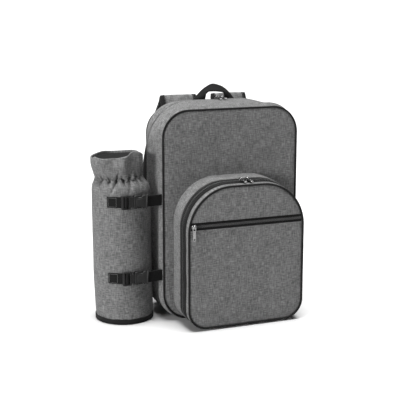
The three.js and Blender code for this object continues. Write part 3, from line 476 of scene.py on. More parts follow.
def ribbed_cloth(name, dark, light, rib, rough, sheen, ribs="X", strength=0.5):
    """A black ribbed cloth: ribs a distance apart in millimetres, across the map's length, and slight
    differences between its yarns."""
    finish, tree = fresh(name)
    place = add(tree, "ShaderNodeUVMap", {"uv_map": "threads"}).outputs["UV"]
    band = add(tree, "ShaderNodeTexWave",
               {"wave_type": "BANDS", "bands_direction": ribs, "Scale": 0.31 / rib, "Distortion": 0.4},
               {"Vector": place}).outputs["Fac"]
    yarn = add(tree, "ShaderNodeTexNoise", {"noise_dimensions": "2D", "Scale": 0.9, "Detail": 3},
               {"Vector": place}).outputs["Fac"]
    both = add(tree, "ShaderNodeMath", {"operation": "MULTIPLY_ADD", 1: 0.5}, {0: band, 2: yarn})
    share = add(tree, "ShaderNodeMapRange", {"From Min": 0.35, "From Max": 1.05}, {"Value": both.outputs[0]})
    grey = add(tree, "ShaderNodeMix", {"data_type": "RGBA", 6: linear(dark), 7: linear(light)},
               {0: share.outputs[0]})
    bump = add(tree, "ShaderNodeBump", {"Strength": strength, "Distance": 0.0003}, {"Height": band})
    skin = add(tree, "ShaderNodeBsdfPrincipled",
               {"Roughness": rough, "Specular IOR Level": 0.05, "Sheen Weight": sheen,
                "Sheen Roughness": 0.4},
               {"Base Color": grey.outputs[2], "Normal": bump.outputs[0]})
    return surfaced(finish, tree, skin)


bias_tape = ribbed_cloth("bias_tape_woven_polyester", "#0d0d0d", "#1e1e1e", 0.9, 0.8, 0.03)


def pipe(name, size, depth, node):
    points = outline(*size)
    path = ring(points, depth)
    normal = out_of(points)
    side = stood(normal)
    up = np.tile([0.0, -1, 0], (len(path), 1))
    tight = 1 + 0.05 * uneven(path, 9, 12) + 0.04 * uneven(path, 30, 13)
    section = round_section(PIPE)[None] * tight[:, None, None]
    path[:, 2] = np.maximum(path[:, 2], PIPE * 1.06)
    sewn(name, swept(name, path, side, up, section, looped=True), bias_tape, [node])


pipe("main_front_cord", FRONT_EDGE, FRONT_SEAM, "main_front_piping")
pipe("main_back_cord", BACK_EDGE, BACK_SEAM, "main_back_piping")

# Main zip: black woven tape under the slit and a spiral nylon coil sewn down its middle, from one bottom
# corner over the top to the other. The tape lies a little below the cloth, so it reads as a thin dark line.
tape = ribbed_cloth("zip_tape_woven_polyester", "#0a0a0a", "#181818", 0.7, 0.78, 0.03)


def moulded_nylon():
    """Nylon coil, extruded and set: smooth and slightly glossy, black, with a soft highlight on each turn."""
    finish, tree = fresh("nylon_monofilament_coil")
    place = add(tree, "ShaderNodeTexCoord").outputs["Object"]
    grain = add(tree, "ShaderNodeTexNoise", {"Scale": 600, "Detail": 2}, {"Vector": place}).outputs["Fac"]
    rough = add(tree, "ShaderNodeMapRange", {"To Min": 0.34, "To Max": 0.5}, {"Value": grain})
    grey = add(tree, "ShaderNodeMix", {"data_type": "RGBA", 6: linear("#121212"), 7: linear("#242424")},
               {0: grain})
    skin = add(tree, "ShaderNodeBsdfPrincipled", {"IOR": 1.53},
               {"Base Color": grey.outputs[2], "Roughness": rough.outputs[0]})
    return surfaced(finish, tree, skin)


nylon_coil = moulded_nylon()

# One turn of a coil on one side: half a spiral of rounded wire, as along, across and up, and its faces.
TURN = np.array([
    (-0.42, -0.5, 0), (0.42, -0.5, 0), (0.24, -0.5, 0.85), (-0.24, -0.5, 0.85),
    (-0.48, 1.6, 0), (0.48, 1.6, 0), (0.3, 1.5, 1.0), (-0.3, 1.5, 1.0),
    (-0.36, 2.9, 0), (0.36, 2.9, 0), (0.2, 2.6, 0.45), (-0.2, 2.6, 0.45),
])
TURN_FACES = [
    (3, 2, 1, 0), (0, 1, 5, 4), (1, 2, 6, 5), (2, 3, 7, 6), (3, 0, 4, 7), (4, 5, 9, 8), (5, 6, 10, 9),
    (6, 7, 11, 10), (7, 4, 8, 11), (8, 9, 10, 11),
]


def lengths_along(path):
    """How far along a path each of its points is."""
    return np.concatenate([[0], np.cumsum(np.linalg.norm(np.diff(path, axis=0), axis=1))])


def paced(path, frames, pace, start=0.0):
    """Points a fixed distance apart on a path, with its frames there."""
    length = lengths_along(path)
    at = np.arange(start, length[-1], pace)
    spread = [np.stack([np.interp(at, length, values[:, k]) for k in range(3)], 1)
              for values in (path, *frames)]
    return spread[0], [unit(values) for values in spread[1:]]


def strewn(name, shape, faces, at, along, side, up):
    """One mesh of many copies of a small shape."""
    points = (at[:, None] + shape[None, :, :1] * along[:, None] + shape[None, :, 1:2] * side[:, None]
              + shape[None, :, 2:] * up[:, None])
    count, each = points.shape[:2]
    corners = (np.array(faces)[None] + (np.arange(count) * each)[:, None, None]).reshape(-1, len(faces[0]))
    mesh = bpy.data.meshes.new(name)
    mesh.from_pydata(points.reshape(-1, 3) * MM, [], corners.tolist())
    mesh.polygons.foreach_set("use_smooth", np.ones(len(corners), bool))
    mesh.uv_layers.new(name="threads")
    return mesh


def coil(name, path, side, up, pitch=1.5):
    """Turns of a coil along both sides of a path, half a turn apart."""
    along = unit(np.gradient(path, axis=0))
    parts = []
    for sign, start in ((1, 0.0), (-1, pitch / 2)):
        at, frames = paced(path, (along, side, up), pitch, start)
        parts.append(strewn(name, TURN * [1, sign, 1], [face[::sign] for face in TURN_FACES], at, *frames))
    work = bmesh.new()
    for part in parts:
        work.from_mesh(part)
    work.to_mesh(parts[0])
    work.free()
    return parts[0]


def zip_run(size, first, deep):
    """The part of an outline that a zip follows, at a distance under it, and directions out of it."""
    points = outline(*inset(size, deep))
    normal = out_of(points)
    keep = slice(first, COLUMNS - first + 1)
    return points[keep], normal[keep]


def main_zip():
    points, normal = zip_run(ZIP_SIZE, ZIP_FROM, 1.9)
    path = ring(points, ZIP_LINE)
    up = stood(normal)
    side = np.tile([0.0, 1, 0], (len(path), 1))
    section = [(-2.6, -1), (2.6, -1), (2.6, 0), (-2.6, 0)]
    band = swept("main_zip_tape", path, side, up, section)
    sewn("main_zip_tape", band, tape, ["main_zip"])
    turns = coil("main_zip_coil", path + up * 0.02, side * 0.72, up)
    sewn("main_zip_coil", turns, nylon_coil)


main_zip()

# Pocket, rear strip: a strip of single cloth sewn to the front panel along an arch and closed under the
# bottom. It is unlined, so its loose sides bulge and it puckers where it is gathered into the seam.
# How far behind and in front of the zip's middle the slit's two rims lie, and the last depths before them.
REAR_RIM, FRONT_RIM = 12, 16
REAR_LAST, FRONT_LAST = 36.4, 64.4


def pocket_size(depth, swell):
    """The pocket's outline at a depth, between the bag's front and the pocket's front seam."""
    share = (FRONT_SEAM - depth) / (FRONT_SEAM - POCKET_SEAM)
    size = [rear + (fore - rear) * share for rear, fore in zip(POCKET_REAR, POCKET_FRONT)]
    return (size[0] + swell, size[1], size[2] + swell, size[3], size[4])


# Depth from the bag's front seam, and how far the pocket's sides swell out there.
POCKET_STRIP = [(0, 0), (6, 0.5), (14, 0.9), (24, 1.5), (36, 1.8), (62, 1.7), (68, 1), (72.5, 0)]


def pocket_folds(level):
    """Loose folds of the pocket's sides: stronger low on the sides, where nothing holds the cloth."""
    x, depth, z = level.T
    low = np.clip((200 - z) / 60, 0, 1) * np.clip((z - 12) / 20, 0, 1)
    ease = np.clip((FRONT_SEAM - depth - 2) / 10, 0, 1) * np.clip((depth - POCKET_SEAM - 1) / 10, 0, 1)
    right = (x > 60) * np.exp(-(((z - 150) / 60) ** 2)) * 1.6 * np.exp(-(((depth + 112) / 22) ** 2))
    slack = 0.6 * uneven(level, 34, 21) + 0.25 * uneven(level, 15, 22)
    return ease * ((0.4 + low) * slack + right)


def panel_seat(points):
    """Where the pocket's rear edge meets the front panel."""
    return front_panel(points[:, 0], points[:, 1]) - 0.2


POCKET_OPEN = opened(RUNS[0], 4, 6)


def pocket_rear():
    rings = []
    for depth in np.concatenate([[0, 0.8, 2, 4], np.arange(6, 35, 2.1), [REAR_LAST]]):
        size = pocket_size(FRONT_SEAM - depth, eased(depth, POCKET_STRIP, 1))
        points = outline(*size)
        level = panel_seat(points) - depth * (37 - 0.6) / REAR_LAST if depth < 36 else FRONT_SEAM - 37
        if depth > 30:
            level = level - (1 - POCKET_OPEN) * (depth - 30) / 6.4 * (REAR_RIM - 0.4)
        elif depth == 0:
            points = points - out_of(points) * 0.6
        moved = points + out_of(points) * (pocket_folds(ring(points, level)) * (depth > 0))[:, None]
        rings.append(ring(moved, level))
    rim = POCKET_ZIP + slit(REAR_RIM, POCKET_OPEN)
    rings[-1][:, 1] = rim
    for depth in (REAR_LAST, 20, 4, 0):
        size = inset(pocket_size(FRONT_SEAM - depth, eased(depth, POCKET_STRIP, 1)), 2)
        points = outline(*size)
        rings.append(ring(points, rim if depth > 36 else panel_seat(points) - depth))
    return shell("pocket_rear_strip", rings, looped=True)


sewn("pocket_rear_strip", pocket_rear(), melange, ["pocket_rear_gusset"])

# Pocket, front: the front panel and the 10 mm strip between the zip and the piping. A slot across the panel
# holds a second zip; its edges are turned under and topstitched. The panel sags a little under the slot.
POCKET_ROLL = [(1.48, -1.48), (2.3, -0.3), (3.4, 0.2), (5, 0.5), (10, 0.95), (14, 1), (110, 1.3)]
POCKET_CREASES = [
    (-78, 165, -84, 60, 16, 1.1), (-20, 176, 10, 168, 14, 0.5), (64, 232, 84, 216, 9, 0.9),
    (-66, 232, -40, 240, 9, 0.6), (-96, 30, -70, 18, 10, 0.8), (20, 110, 74, 96, 20, 0.7),
    (-30, 60, 30, 48, 18, 0.6), (88, 176, 96, 120, 10, 0.6),
]
SLOT_MIDDLE, SLOT_HALF, SLOT_END = 191.4, 6.9, 107.2


def pocket_panel(x, z):
    far = inside(x, z, POCKET_FRONT)
    points = np.stack([x, 0 * x - 134, z], 1)
    soft = np.clip((far - 5) / 24, 0, 1)
    calm = 1 - 0.75 * np.exp(-(((z - SLOT_MIDDLE) / 14) ** 2))
    depth = POCKET_SEAM - np.interp(far, *np.array(POCKET_ROLL).T)
    return depth + soft * calm * (creased(x, z, POCKET_CREASES) * 0.9 - 0.6
                                  + 0.8 * uneven(points, 52, 23) + 0.3 * uneven(points, 21, 24))


def pocket_front():
    panel = panel_rings(POCKET_FRONT, pocket_panel, POCKET_ROLL, 26, POCKET_SPINE)
    rings = list(panel[:-1])
    rim = POCKET_ZIP - slit(FRONT_RIM, POCKET_OPEN)
    for depth in (72.52, 71.4, 70, 68.5, 67, 65.6, FRONT_LAST):
        size = pocket_size(FRONT_SEAM - depth, eased(depth, POCKET_STRIP, 1))
        if depth > 72:
            size = inset(POCKET_FRONT, TUCK)
        points = outline(*size)
        level = FRONT_SEAM - depth
        if depth < 70:
            level = level + (1 - POCKET_OPEN) * (70 - depth) / 5.6 * (FRONT_RIM - 0.4)
        level = rim if depth == FRONT_LAST else np.broadcast_to(level, len(points))
        moved = points + out_of(points) * (pocket_folds(ring(points, level)) * (depth < 71))[:, None]
        rings.append(ring(moved, level))
    rings.append(ring(outline(*inset(pocket_size(POCKET_ZIP - FRONT_RIM, 1.5), 2)), rim))
    rings.append(ring(outline(*inset(POCKET_FRONT, 2.6)), POCKET_SEAM + 4))
    return lined("pocket_front_cloth", rings, len(panel) - 1, inset(POCKET_FRONT, 10),
                 (POCKET_SEAM + 1.6, POCKET_SEAM + 1.8), POCKET_SPINE)


def cut(piece, low, high):
    """Cuts a box out of a piece and keeps the result as its mesh."""
    corners = np.array([(x, y, z) for x in (low[0], high[0]) for y in (low[1], high[1])
                        for z in (low[2], high[2])])
    faces = [(0, 1, 3, 2), (4, 6, 7, 5), (0, 4, 5, 1), (2, 3, 7, 6), (0, 2, 6, 4), (1, 5, 7, 3)]
    mesh = bpy.data.meshes.new("slot")
    mesh.from_pydata(corners * MM, [], faces)
    tool = bpy.data.objects.new("slot", mesh)
    bpy.context.scene.collection.objects.link(tool)
    slot = piece.modifiers.new("slot", "BOOLEAN")
    slot.operation, slot.object, slot.solver = "DIFFERENCE", tool, "EXACT"
    bpy.context.view_layer.update()
    shown = piece.evaluated_get(bpy.context.evaluated_depsgraph_get())
    made = bpy.data.meshes.new_from_object(shown)
    piece.modifiers.clear()
    piece.data = made
    bpy.data.objects.remove(tool)


pocket_cloth = sewn("pocket_front_cloth", pocket_front(), melange, ["pocket_front_shell"])
cut(pocket_cloth, (-SLOT_END, -140, SLOT_MIDDLE - SLOT_HALF), (SLOT_END, -128, SLOT_MIDDLE + SLOT_HALF))
pocket_cloth.data.set_sharp_from_angle(angle=math.radians(50))
pipe("pocket_cord", POCKET_FRONT, POCKET_SEAM, "pocket_piping")

# Zip of the pocket: black woven tape from under one low corner over the arch to the other, with the nylon
# coil sewn down its middle. 28 mm of it shows between the edges it is sewn to, as a broad black line.


def pocket_zip():
    low = RUNS[0]
    keep = slice(low, COLUMNS - low + 1)
    rings = []
    for offset in (11.8, 6, 3.4, 0, -3.4, -6, -16.8):
        depth = POCKET_ZIP + offset
        swell = eased(FRONT_SEAM - depth, POCKET_STRIP, 1)
        points = outline(*pocket_size(depth, swell - 0.7 - 0.25 * math.cos(offset / 11.6 * 1.5)))
        level = ring(points, depth)
        points = points + out_of(points) * pocket_folds(level)[:, None]
        rings.append(ring(points, depth)[keep])
    top = np.array(rings)
    middle = top[3]
    normal = out_of(outline(*pocket_size(POCKET_ZIP, 1)))[keep]
    up = stood(normal)
    under = top[::-1] - up[None] * 0.9
    loop = np.concatenate([top, under]).transpose(1, 0, 2)
    sewn("pocket_zip_tape", shell("pocket_zip_tape", loop), tape, ["pocket_zip"])
    side = np.tile([0.0, 1, 0], (len(middle), 1))
    sewn("pocket_zip_coil", coil("pocket_zip_coil", middle, side, up), nylon_coil)


pocket_zip()

# Zip across the pocket's front: two tapes let into the slot with the coil between them, its ends caught in
# the piping at both sides.


def front_zip():
    x = np.linspace(-106.8, 106.8, 90)
    path = np.stack([x, np.full(len(x), -134.55), np.full(len(x), SLOT_MIDDLE)], 1)
    up = np.tile([0.0, -1, 0], (len(x), 1))
    side = np.tile([0.0, 0, 1], (len(x), 1))
    section = [(-6.7, -1.1), (6.7, -1.1), (6.7, -0.15), (3.2, 0.1), (-3.2, 0.1), (-6.7, -0.15)]
    band = swept("front_zip_tape", path, side, up, section)
    sewn("front_zip_tape", band, tape, ["pocket_front_zip"])
    turns = coil("front_zip_coil", path - up * 0.15, side * 0.85, up * 0.7)
    sewn("front_zip_coil", turns, nylon_coil)


front_zip()

# Topstitching: black thread, 3 mm stitches that dip into the cloth at each end, beside the zips, round the
# ridge of the front strip and along the turned edges of the front slot.
# Places along a stitch, half its width there, and how deep its under and its upper face lie.
STITCH_STEPS = [
    (-1.25, 0.12, -0.3, -0.1), (-0.8, 0.28, -0.1, 0.3), (0, 0.32, -0.1, 0.4), (0.8, 0.28, -0.1, 0.3),
    (1.25, 0.12, -0.3, -0.1),
]
STITCH = np.array([(at, across * wide, deep) for at, wide, low, high in STITCH_STEPS
                   for across, deep in ((-1, low), (1, low), (1, high), (-1, high))])
STITCH_FACES = ([(3, 2, 1, 0)] + [(r * 4 + k, r * 4 + (k + 1) % 4, r * 4 + 4 + (k + 1) % 4, r * 4 + 4 + k)
                                 for r in range(4) for k in range(4)] + [(16, 17, 18, 19)])


def spun_thread():
    """Bonded polyester thread, black, twisted, a little glossier than the cloth it holds."""
    finish, tree = fresh("polyester_thread_twisted")
    place = add(tree, "ShaderNodeTexCoord").outputs["Object"]
    twist = add(tree, "ShaderNodeTexNoise", {"Scale": 900, "Detail": 1}, {"Vector": place}).outputs["Fac"]
    grey = add(tree, "ShaderNodeMix", {"data_type": "RGBA", 6: linear("#2c2c2c"), 7: linear("#4a4a4a")},
               {0: twist})
    skin = add(tree, "ShaderNodeBsdfPrincipled", {"Roughness": 0.6, "Sheen Weight": 0.1},
               {"Base Color": grey.outputs[2]})
    return surfaced(finish, tree, skin)


thread = spun_thread()


def stitched(name, path, up, pace=3.2):
    """A row of stitches along a path that lies in the cloth's face."""
    along = unit(np.gradient(path, axis=0))
    at, (a, u) = paced(path, (along, up), pace, pace / 2)
    side = unit(np.cross(u, a))
    sewn(name, strewn(name, STITCH, STITCH_FACES, at, a, side, unit(np.cross(a, side))), thread)


def seam_stitches():
    for name, depth, first in (("ridge_stitches", 19.3, 0), ("zip_front_stitches", 74.5, ZIP_FROM - 2)):
        face = strip_ring(front_size(depth), FRONT_SEAM + depth, front_folds(depth))
        face[:, 2] = np.maximum(face[:, 2], 0.5)
        normal = out_of(face[:, [0, 2]])
        up = stood(normal)
        keep = slice(first, COLUMNS - first)
        stitched(name, face[keep], up[keep])
    face = strip_ring(back_size(33.5), 33.5, back_folds(33.5))
    normal = out_of(face[:, [0, 2]])
    keep = slice(ZIP_FROM - 2, COLUMNS - ZIP_FROM + 2)
    stitched("zip_back_stitches", face[keep], stood(normal)[keep])
    # Both rows run 16.2 mm from the middle of the pocket's zip.
    for name, depth in (("pocket_zip_rear_stitches", 33.8), ("pocket_zip_front_stitches", 66.2)):
        points = outline(*pocket_size(FRONT_SEAM - depth, eased(depth, POCKET_STRIP, 1)))
        level = ring(points, FRONT_SEAM - depth)
        moved = points + out_of(points) * pocket_folds(level)[:, None]
        normal = out_of(points)
        keep = slice(RUNS[0] + 3, COLUMNS - RUNS[0] - 3)
        stitched(name, ring(moved, FRONT_SEAM - depth)[keep], stood(normal)[keep])
    x = np.linspace(-103, 103, 60)
    for name, up in (("slot_upper_stitches", SLOT_HALF + 2.2), ("slot_lower_stitches", -SLOT_HALF - 2.2)):
        z = SLOT_MIDDLE + up
        wide = math.sqrt(80**2 - max(z - 178, 0) ** 2) + 30.5 - 4 if z > 178 else 106
        run = x * wide / 106
        level = np.full(len(x), z)
        path = np.stack([run, pocket_panel(run, level), level], 1)
        stitched(name, path, np.tile([0.0, -1, 0], (len(x), 1)))


seam_stitches()

# Zip pulls: die-cast zinc sliders, nickel plated, with a bridge on top. Each carries a stamped flat tab that
# swings on the bridge by the crosspiece of its eye and has a round hole at its free end.


def nickel_plate():
    """Nickel plate over a die casting: warm-grey mirror, softened by fine rubbing marks along the tab."""
    finish, tree = fresh("nickel_plated_zinc")
    place = add(tree, "ShaderNodeTexCoord").outputs["Object"]
    rubbed = add(tree, "ShaderNodeVectorMath", {"operation": "MULTIPLY", 1: (1500, 260, 900)}, {0: place})
    marks = add(tree, "ShaderNodeTexNoise", {"Scale": 1, "Detail": 4},
                {"Vector": rubbed.outputs[0]}).outputs["Fac"]
    rough = add(tree, "ShaderNodeMapRange", {"To Min": 0.16, "To Max": 0.36}, {"Value": marks})
    grey = add(tree, "ShaderNodeMix", {"data_type": "RGBA", 6: linear("#767676"), 7: linear("#a2a2a2")},
               {0: marks})
    bump = add(tree, "ShaderNodeBump", {"Strength": 0.08, "Distance": 0.0001}, {"Height": marks})
    skin = add(tree, "ShaderNodeBsdfPrincipled", {"Metallic": 1},
               {"Base Color": grey.outputs[2], "Roughness": rough.outputs[0], "Normal": bump.outputs[0]})
    return surfaced(finish, tree, skin)


nickel = nickel_plate()


def stamped(outer, holes, thick, round_edge):
    """A flat part cut from a plate with rounded edges, from closed outlines of x and y. Its middle plane is
    z = 0."""
    flat = bpy.data.curves.new("plate", "CURVE")
    flat.dimensions, flat.fill_mode = "2D", "BOTH"
    flat.extrude = thick / 2 - round_edge
    flat.bevel_depth, flat.bevel_resolution, flat.offset = round_edge, 2, -round_edge
    for loop in (outer, *holes):
        line = flat.splines.new("POLY")
        line.points.add(len(loop) - 1)
        line.points.foreach_set("co", np.array([(x, y, 0, 1) for x, y in loop], np.float32).ravel())
        line.use_cyclic_u = True
    plate = bpy.data.objects.new("plate", flat)
    bpy.context.scene.collection.objects.link(plate)
    bpy.context.view_layer.update()
    mesh = bpy.data.meshes.new_from_object(plate.evaluated_get(bpy.context.evaluated_depsgraph_get()))
    bpy.data.objects.remove(plate)
    mesh.polygons.foreach_set("use_smooth", np.ones(len(mesh.polygons), bool))
    mesh.set_sharp_from_angle(angle=math.radians(40))
    return mesh


def box_loop(left, low, right, high, radius, steps=5):
    """A round-cornered rectangle as a closed outline."""
    loop = []
    for cx, cy, start in ((right - radius, low + radius, -90), (right - radius, high - radius, 0),
                          (left + radius, high - radius, 90), (left + radius, low + radius, 180)):
        for k in range(steps + 1):
            turn = math.radians(start + 90 * k / steps)
            loop.append((cx + radius * math.cos(turn), cy + radius * math.sin(turn)))
    return loop


def joined(name, parts):
    """One mesh of several, each moved by its 4 x 4 matrix in millimetres."""
    work = bmesh.new()
    for mesh, matrix in parts:
        copy = mesh.copy()
        copy.transform(matrix)
        work.from_mesh(copy)
    made = bpy.data.meshes.new(name)
    work.to_mesh(made)
    work.free()
    made.polygons.foreach_set("use_smooth", np.ones(len(made.polygons), bool))
    made.set_sharp_from_angle(angle=math.radians(40))
    return made


SLIDER_THICK, TAB_THICK, TAB_LONG, TAB_HALF = 2.1, 1.4, 25, 3.2
TAB_AXIS = 0.3 + SLIDER_THICK + (TAB_THICK + 0.8) / 2


def slider_mesh():
    shape = [(-4, -2.6), (-2.4, -4), (2.4, -4), (4, -2.6), (4, 1.2), (3, 4), (0.9, 4), (0, 3.0), (-0.9, 4),
             (-3, 4), (-4, 1.2)]
    upper = stamped(shape, [], 0.95, 0.3)
    lower = stamped([(x * 0.94, y * 0.94) for x, y in shape], [], 0.95, 0.3)
    post = stamped(box_loop(-1.2, -2.5, 1.2, 3, 0.5), [], 0.8, 0.1)
    top = SLIDER_THICK + 0.3 + TAB_THICK + 0.8
    arch = [(-3.5, 1.9), (-3.5, top - 0.5), (-2.9, top + 0.6), (-1.6, top + 1.2), (1.6, top + 1.2),
            (2.9, top + 0.6), (3.5, top - 0.5), (3.5, 1.9), (2.35, 1.9), (2.35, top - 0.6), (1.6, top),
            (-1.6, top), (-2.35, top - 0.6), (-2.35, 1.9)]
    bridge = stamped(arch, [], 2.4, 0.4)
    move = Matrix.Translation
    stand = Matrix(((0, 0, 1, 0), (1, 0, 0, 0), (0, 1, 0, 0), (0, 0, 0, 1)))
    return joined("slider", [(upper, move((0, 0, 1.9))), (lower, move((0, 0, 0.75))),
                             (post, move((0, 0, 1.3))), (bridge, stand)])


def tab_mesh():
    waist = 7.6
    tip = [(0.9 * TAB_HALF * math.cos(a), -TAB_LONG + TAB_HALF + 0.9 * TAB_HALF * math.sin(a))
           for a in np.linspace(math.pi, 2 * math.pi, 13)]
    outer = ([(-TAB_HALF, 0.2), (-TAB_HALF, 1 - waist), (-0.78 * TAB_HALF, -waist)] + tip
             + [(0.78 * TAB_HALF, -waist), (TAB_HALF, 1 - waist), (TAB_HALF, 0.2),
                (TAB_HALF - 0.5, 0.7), (0.5 - TAB_HALF, 0.7)])
    eye = box_loop(-1.8, -5.6, 1.8, -0.7, 0.6, 3)
    hole = [(1.6 * math.cos(a), -TAB_LONG + TAB_HALF + 0.3 + 1.6 * math.sin(a))
            for a in np.linspace(0, 2 * math.pi, 18, endpoint=False)]
    inner = box_loop(-1.0, -17.0, 1.0, -9.7, 0.7, 4)
    panel = stamped(box_loop(-1.5, -17.5, 1.5, -9.2, 1.0, 4), [inner], 0.3, 0.08)
    plate = stamped(outer, [eye[::-1], hole[::-1]], TAB_THICK, 0.3)
    return joined("tab", [(plate, Matrix()), (panel, Matrix.Translation((0, 0, TAB_THICK / 2 + 0.02)))])


slider_shape, tab_shape = slider_mesh(), tab_mesh()


def pull(name, at, slope, body):
    """A slider and its tab, with the slope of the tape under them."""
    place = Matrix.Scale(MM, 4) @ Matrix.Translation(at) @ Matrix.Rotation(slope, 4, "X")
    slider, tab = slider_shape.copy(), tab_shape.copy()
    slider.transform(place)
    tab.transform(place @ Matrix.Translation((0, 0, TAB_AXIS)))
    sewn(name + "_slider_cast", slider, nickel, [name + "_slider"])
    sewn(name + "_tab_stamped", tab, nickel, [name + "_tab"], body)


top_slope = math.atan2(9 * 0.12, 84 * 0.35)
pull("main_left", (6, ZIP_LINE, 394), top_slope, "main_left_pull")
pull("main_right", (16.3, ZIP_LINE, 394), top_slope, "main_right_pull")
pocket_slope = math.atan2(8, 74)
pocket_crest = pocket_size(POCKET_ZIP, 1.8)[2]
pull("pocket_left", (-2.4, POCKET_ZIP, pocket_crest), pocket_slope, "pocket_left_pull")
pull("pocket_right", (10.3, POCKET_ZIP, pocket_crest), pocket_slope, "pocket_right_pull")
front_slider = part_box("pocket_front_slider")
front_x = (front_slider[0].x + front_slider[1].x) / 2 / MM
pull("pocket_front", (front_x, -134.7, SLOT_MIDDLE), math.pi / 2, "pocket_front_pull")

# Carry handle: 25 mm of black polypropylene webbing, its ends sewn flat to the top behind the main zip. It
# twists on the way up, so its top leans back and its outer edge runs nearly straight to a blunt point.
HANDLE_DEPTH, HANDLE_THICK = 37, 2.6
# Outer edge x, z and inner edge x, z, from the left foot to the right one, and how far the outer edge leans
# back.
HANDLE_EDGES = [
    (-37.4, 388.5, -12.4, 388.5, 0), (-36.8, 393.3, -11.8, 392.9, 2), (-26.4, 400.8, -12.8, 398.9, 13),
    (-16.3, 409.0, -12.4, 404.3, 18), (-5.9, 415.4, -8.8, 407.9, 20), (3.6, 420.1, -1.7, 408.2, 21),
    (9.8, 420.6, 4.3, 408.0, 21), (17.1, 418.7, 10.8, 407.4, 21), (27.8, 414.4, 16.9, 406.8, 21),
    (35.1, 408.9, 21.4, 405.5, 20), (41.3, 402.7, 23.5, 401.8, 16), (45.7, 396.9, 24.8, 397.2, 11),
    (49.2, 392.3, 25.6, 392.9, 5), (50.0, 388.5, 25.4, 388.5, 0),
]


def curve_through(points, steps):
    """A smooth curve through points, with as many steps between each two."""
    p = np.asarray(points, float)
    p = np.concatenate([[2 * p[0] - p[1]], p, [2 * p[-1] - p[-2]]])
    runs = []
    for p0, p1, p2, p3 in zip(p, p[1:], p[2:], p[3:]):
        a, b, c = (max(np.linalg.norm(end - start), 1e-6) ** 0.5
                   for start, end in ((p0, p1), (p1, p2), (p2, p3)))
        leave = ((p1 - p0) / a - (p2 - p0) / (a + b)) * b + (p2 - p1)
        arrive = ((p3 - p2) / c - (p3 - p1) / (b + c)) * b + (p2 - p1)
        t = np.linspace(0, 1, steps, endpoint=False)[:, None]
        runs.append(p1 * (1 + 2 * t) * (1 - t) ** 2 + leave * t * (1 - t) ** 2
                    + p2 * t * t * (3 - 2 * t) - arrive * t * t * (1 - t))
    return np.concatenate([*runs, p[-2:-1]])


def band_section(width, thick):
    """The section of a flat woven band with soft edges, as across and up."""
    a, b = width / 2, thick / 2
    across = np.linspace(-a + b, a - b, 9)
    return np.array([(-a, 0), *[(x, -b) for x in across], (a, 0), *[(x, b) for x in across[::-1]]])


def crosswise(path, side):
    """Directions square to a path, nearest to those given."""
    along = unit(np.gradient(path, axis=0))
    return unit(side - along * (side * along).sum(1)[:, None])


def webbing_band(name, path, side, width, thick, stands_for=()):
    """A band of webbing along a path, its width along the given directions."""
    side = crosswise(path, side)
    up = unit(np.cross(side, np.gradient(path, axis=0)))
    return sewn(name, swept(name, path, side, up, band_section(width, thick)), webbing, stands_for)


webbing = ribbed_cloth("webbing_woven_polypropylene", "#080808", "#191919", 1.3, 0.66, 0.02, "Y", 0.9)


def handle():
    rows = np.array(HANDLE_EDGES, float)
    lean = rows[:, 4]
    outer = curve_through(np.stack([rows[:, 0], HANDLE_DEPTH + lean / 2, rows[:, 1]], 1), 8)
    inner = curve_through(np.stack([rows[:, 2], HANDLE_DEPTH - lean / 2, rows[:, 3]], 1), 8)
    path, edge = (outer + inner) / 2, outer - inner
    along = np.gradient(path, axis=0)
    wide = np.linalg.norm(edge, axis=1)
    sections = [band_section(across, HANDLE_THICK) for across in wide]
    mesh = swept("carry_handle_webbing", path, unit(edge), unit(np.cross(edge, along)), sections)
    sewn("carry_handle_webbing", mesh, webbing, ["carry_handle"])


handle()

# Shoulder straps: 10 mm of foam in the same melange cloth, its edges bound with a wide black tape. Each is
# sewn to the back panel below its top, goes over the top and bows down to the adjuster at its end.
PAD_WIDE, PAD_THICK, PAD_SEAT = 73, 10, 67.1
PAD_TOP, PAD_END, PAD_BOW, PAD_NEAR, PAD_FAR = 395, 122, 45, 51.5, 88
# Shares of the bow, of the height, of the way from the near line to the far one, and of the width, and how
# far both straps swing to the right there.
PAD_ROWS = [
    (-0.03, 0.78, 0.1, 0.96, 0), (0, 0.87, 0.04, 0.98, 0), (0.07, 0.95, 0, 1, 0), (0.25, 1, 0, 1, 1),
    (0.44, 0.96, 0.1, 1, 5), (0.58, 0.885, 0.34, 1, 8), (0.8, 0.72, 0.66, 0.98, 8),
    (0.96, 0.5, 0.86, 0.94, 5), (0.92, 0.3, 0.93, 0.88, 2), (0.74, 0.12, 0.97, 0.8, 0),
    (0.62, 0.035, 0.99, 0.7, 0), (0.56, 0, 1, 0.52, 0),
]
TAPE_WRAP = 8.5  # how far the binding reaches in from the pad's edge on each face


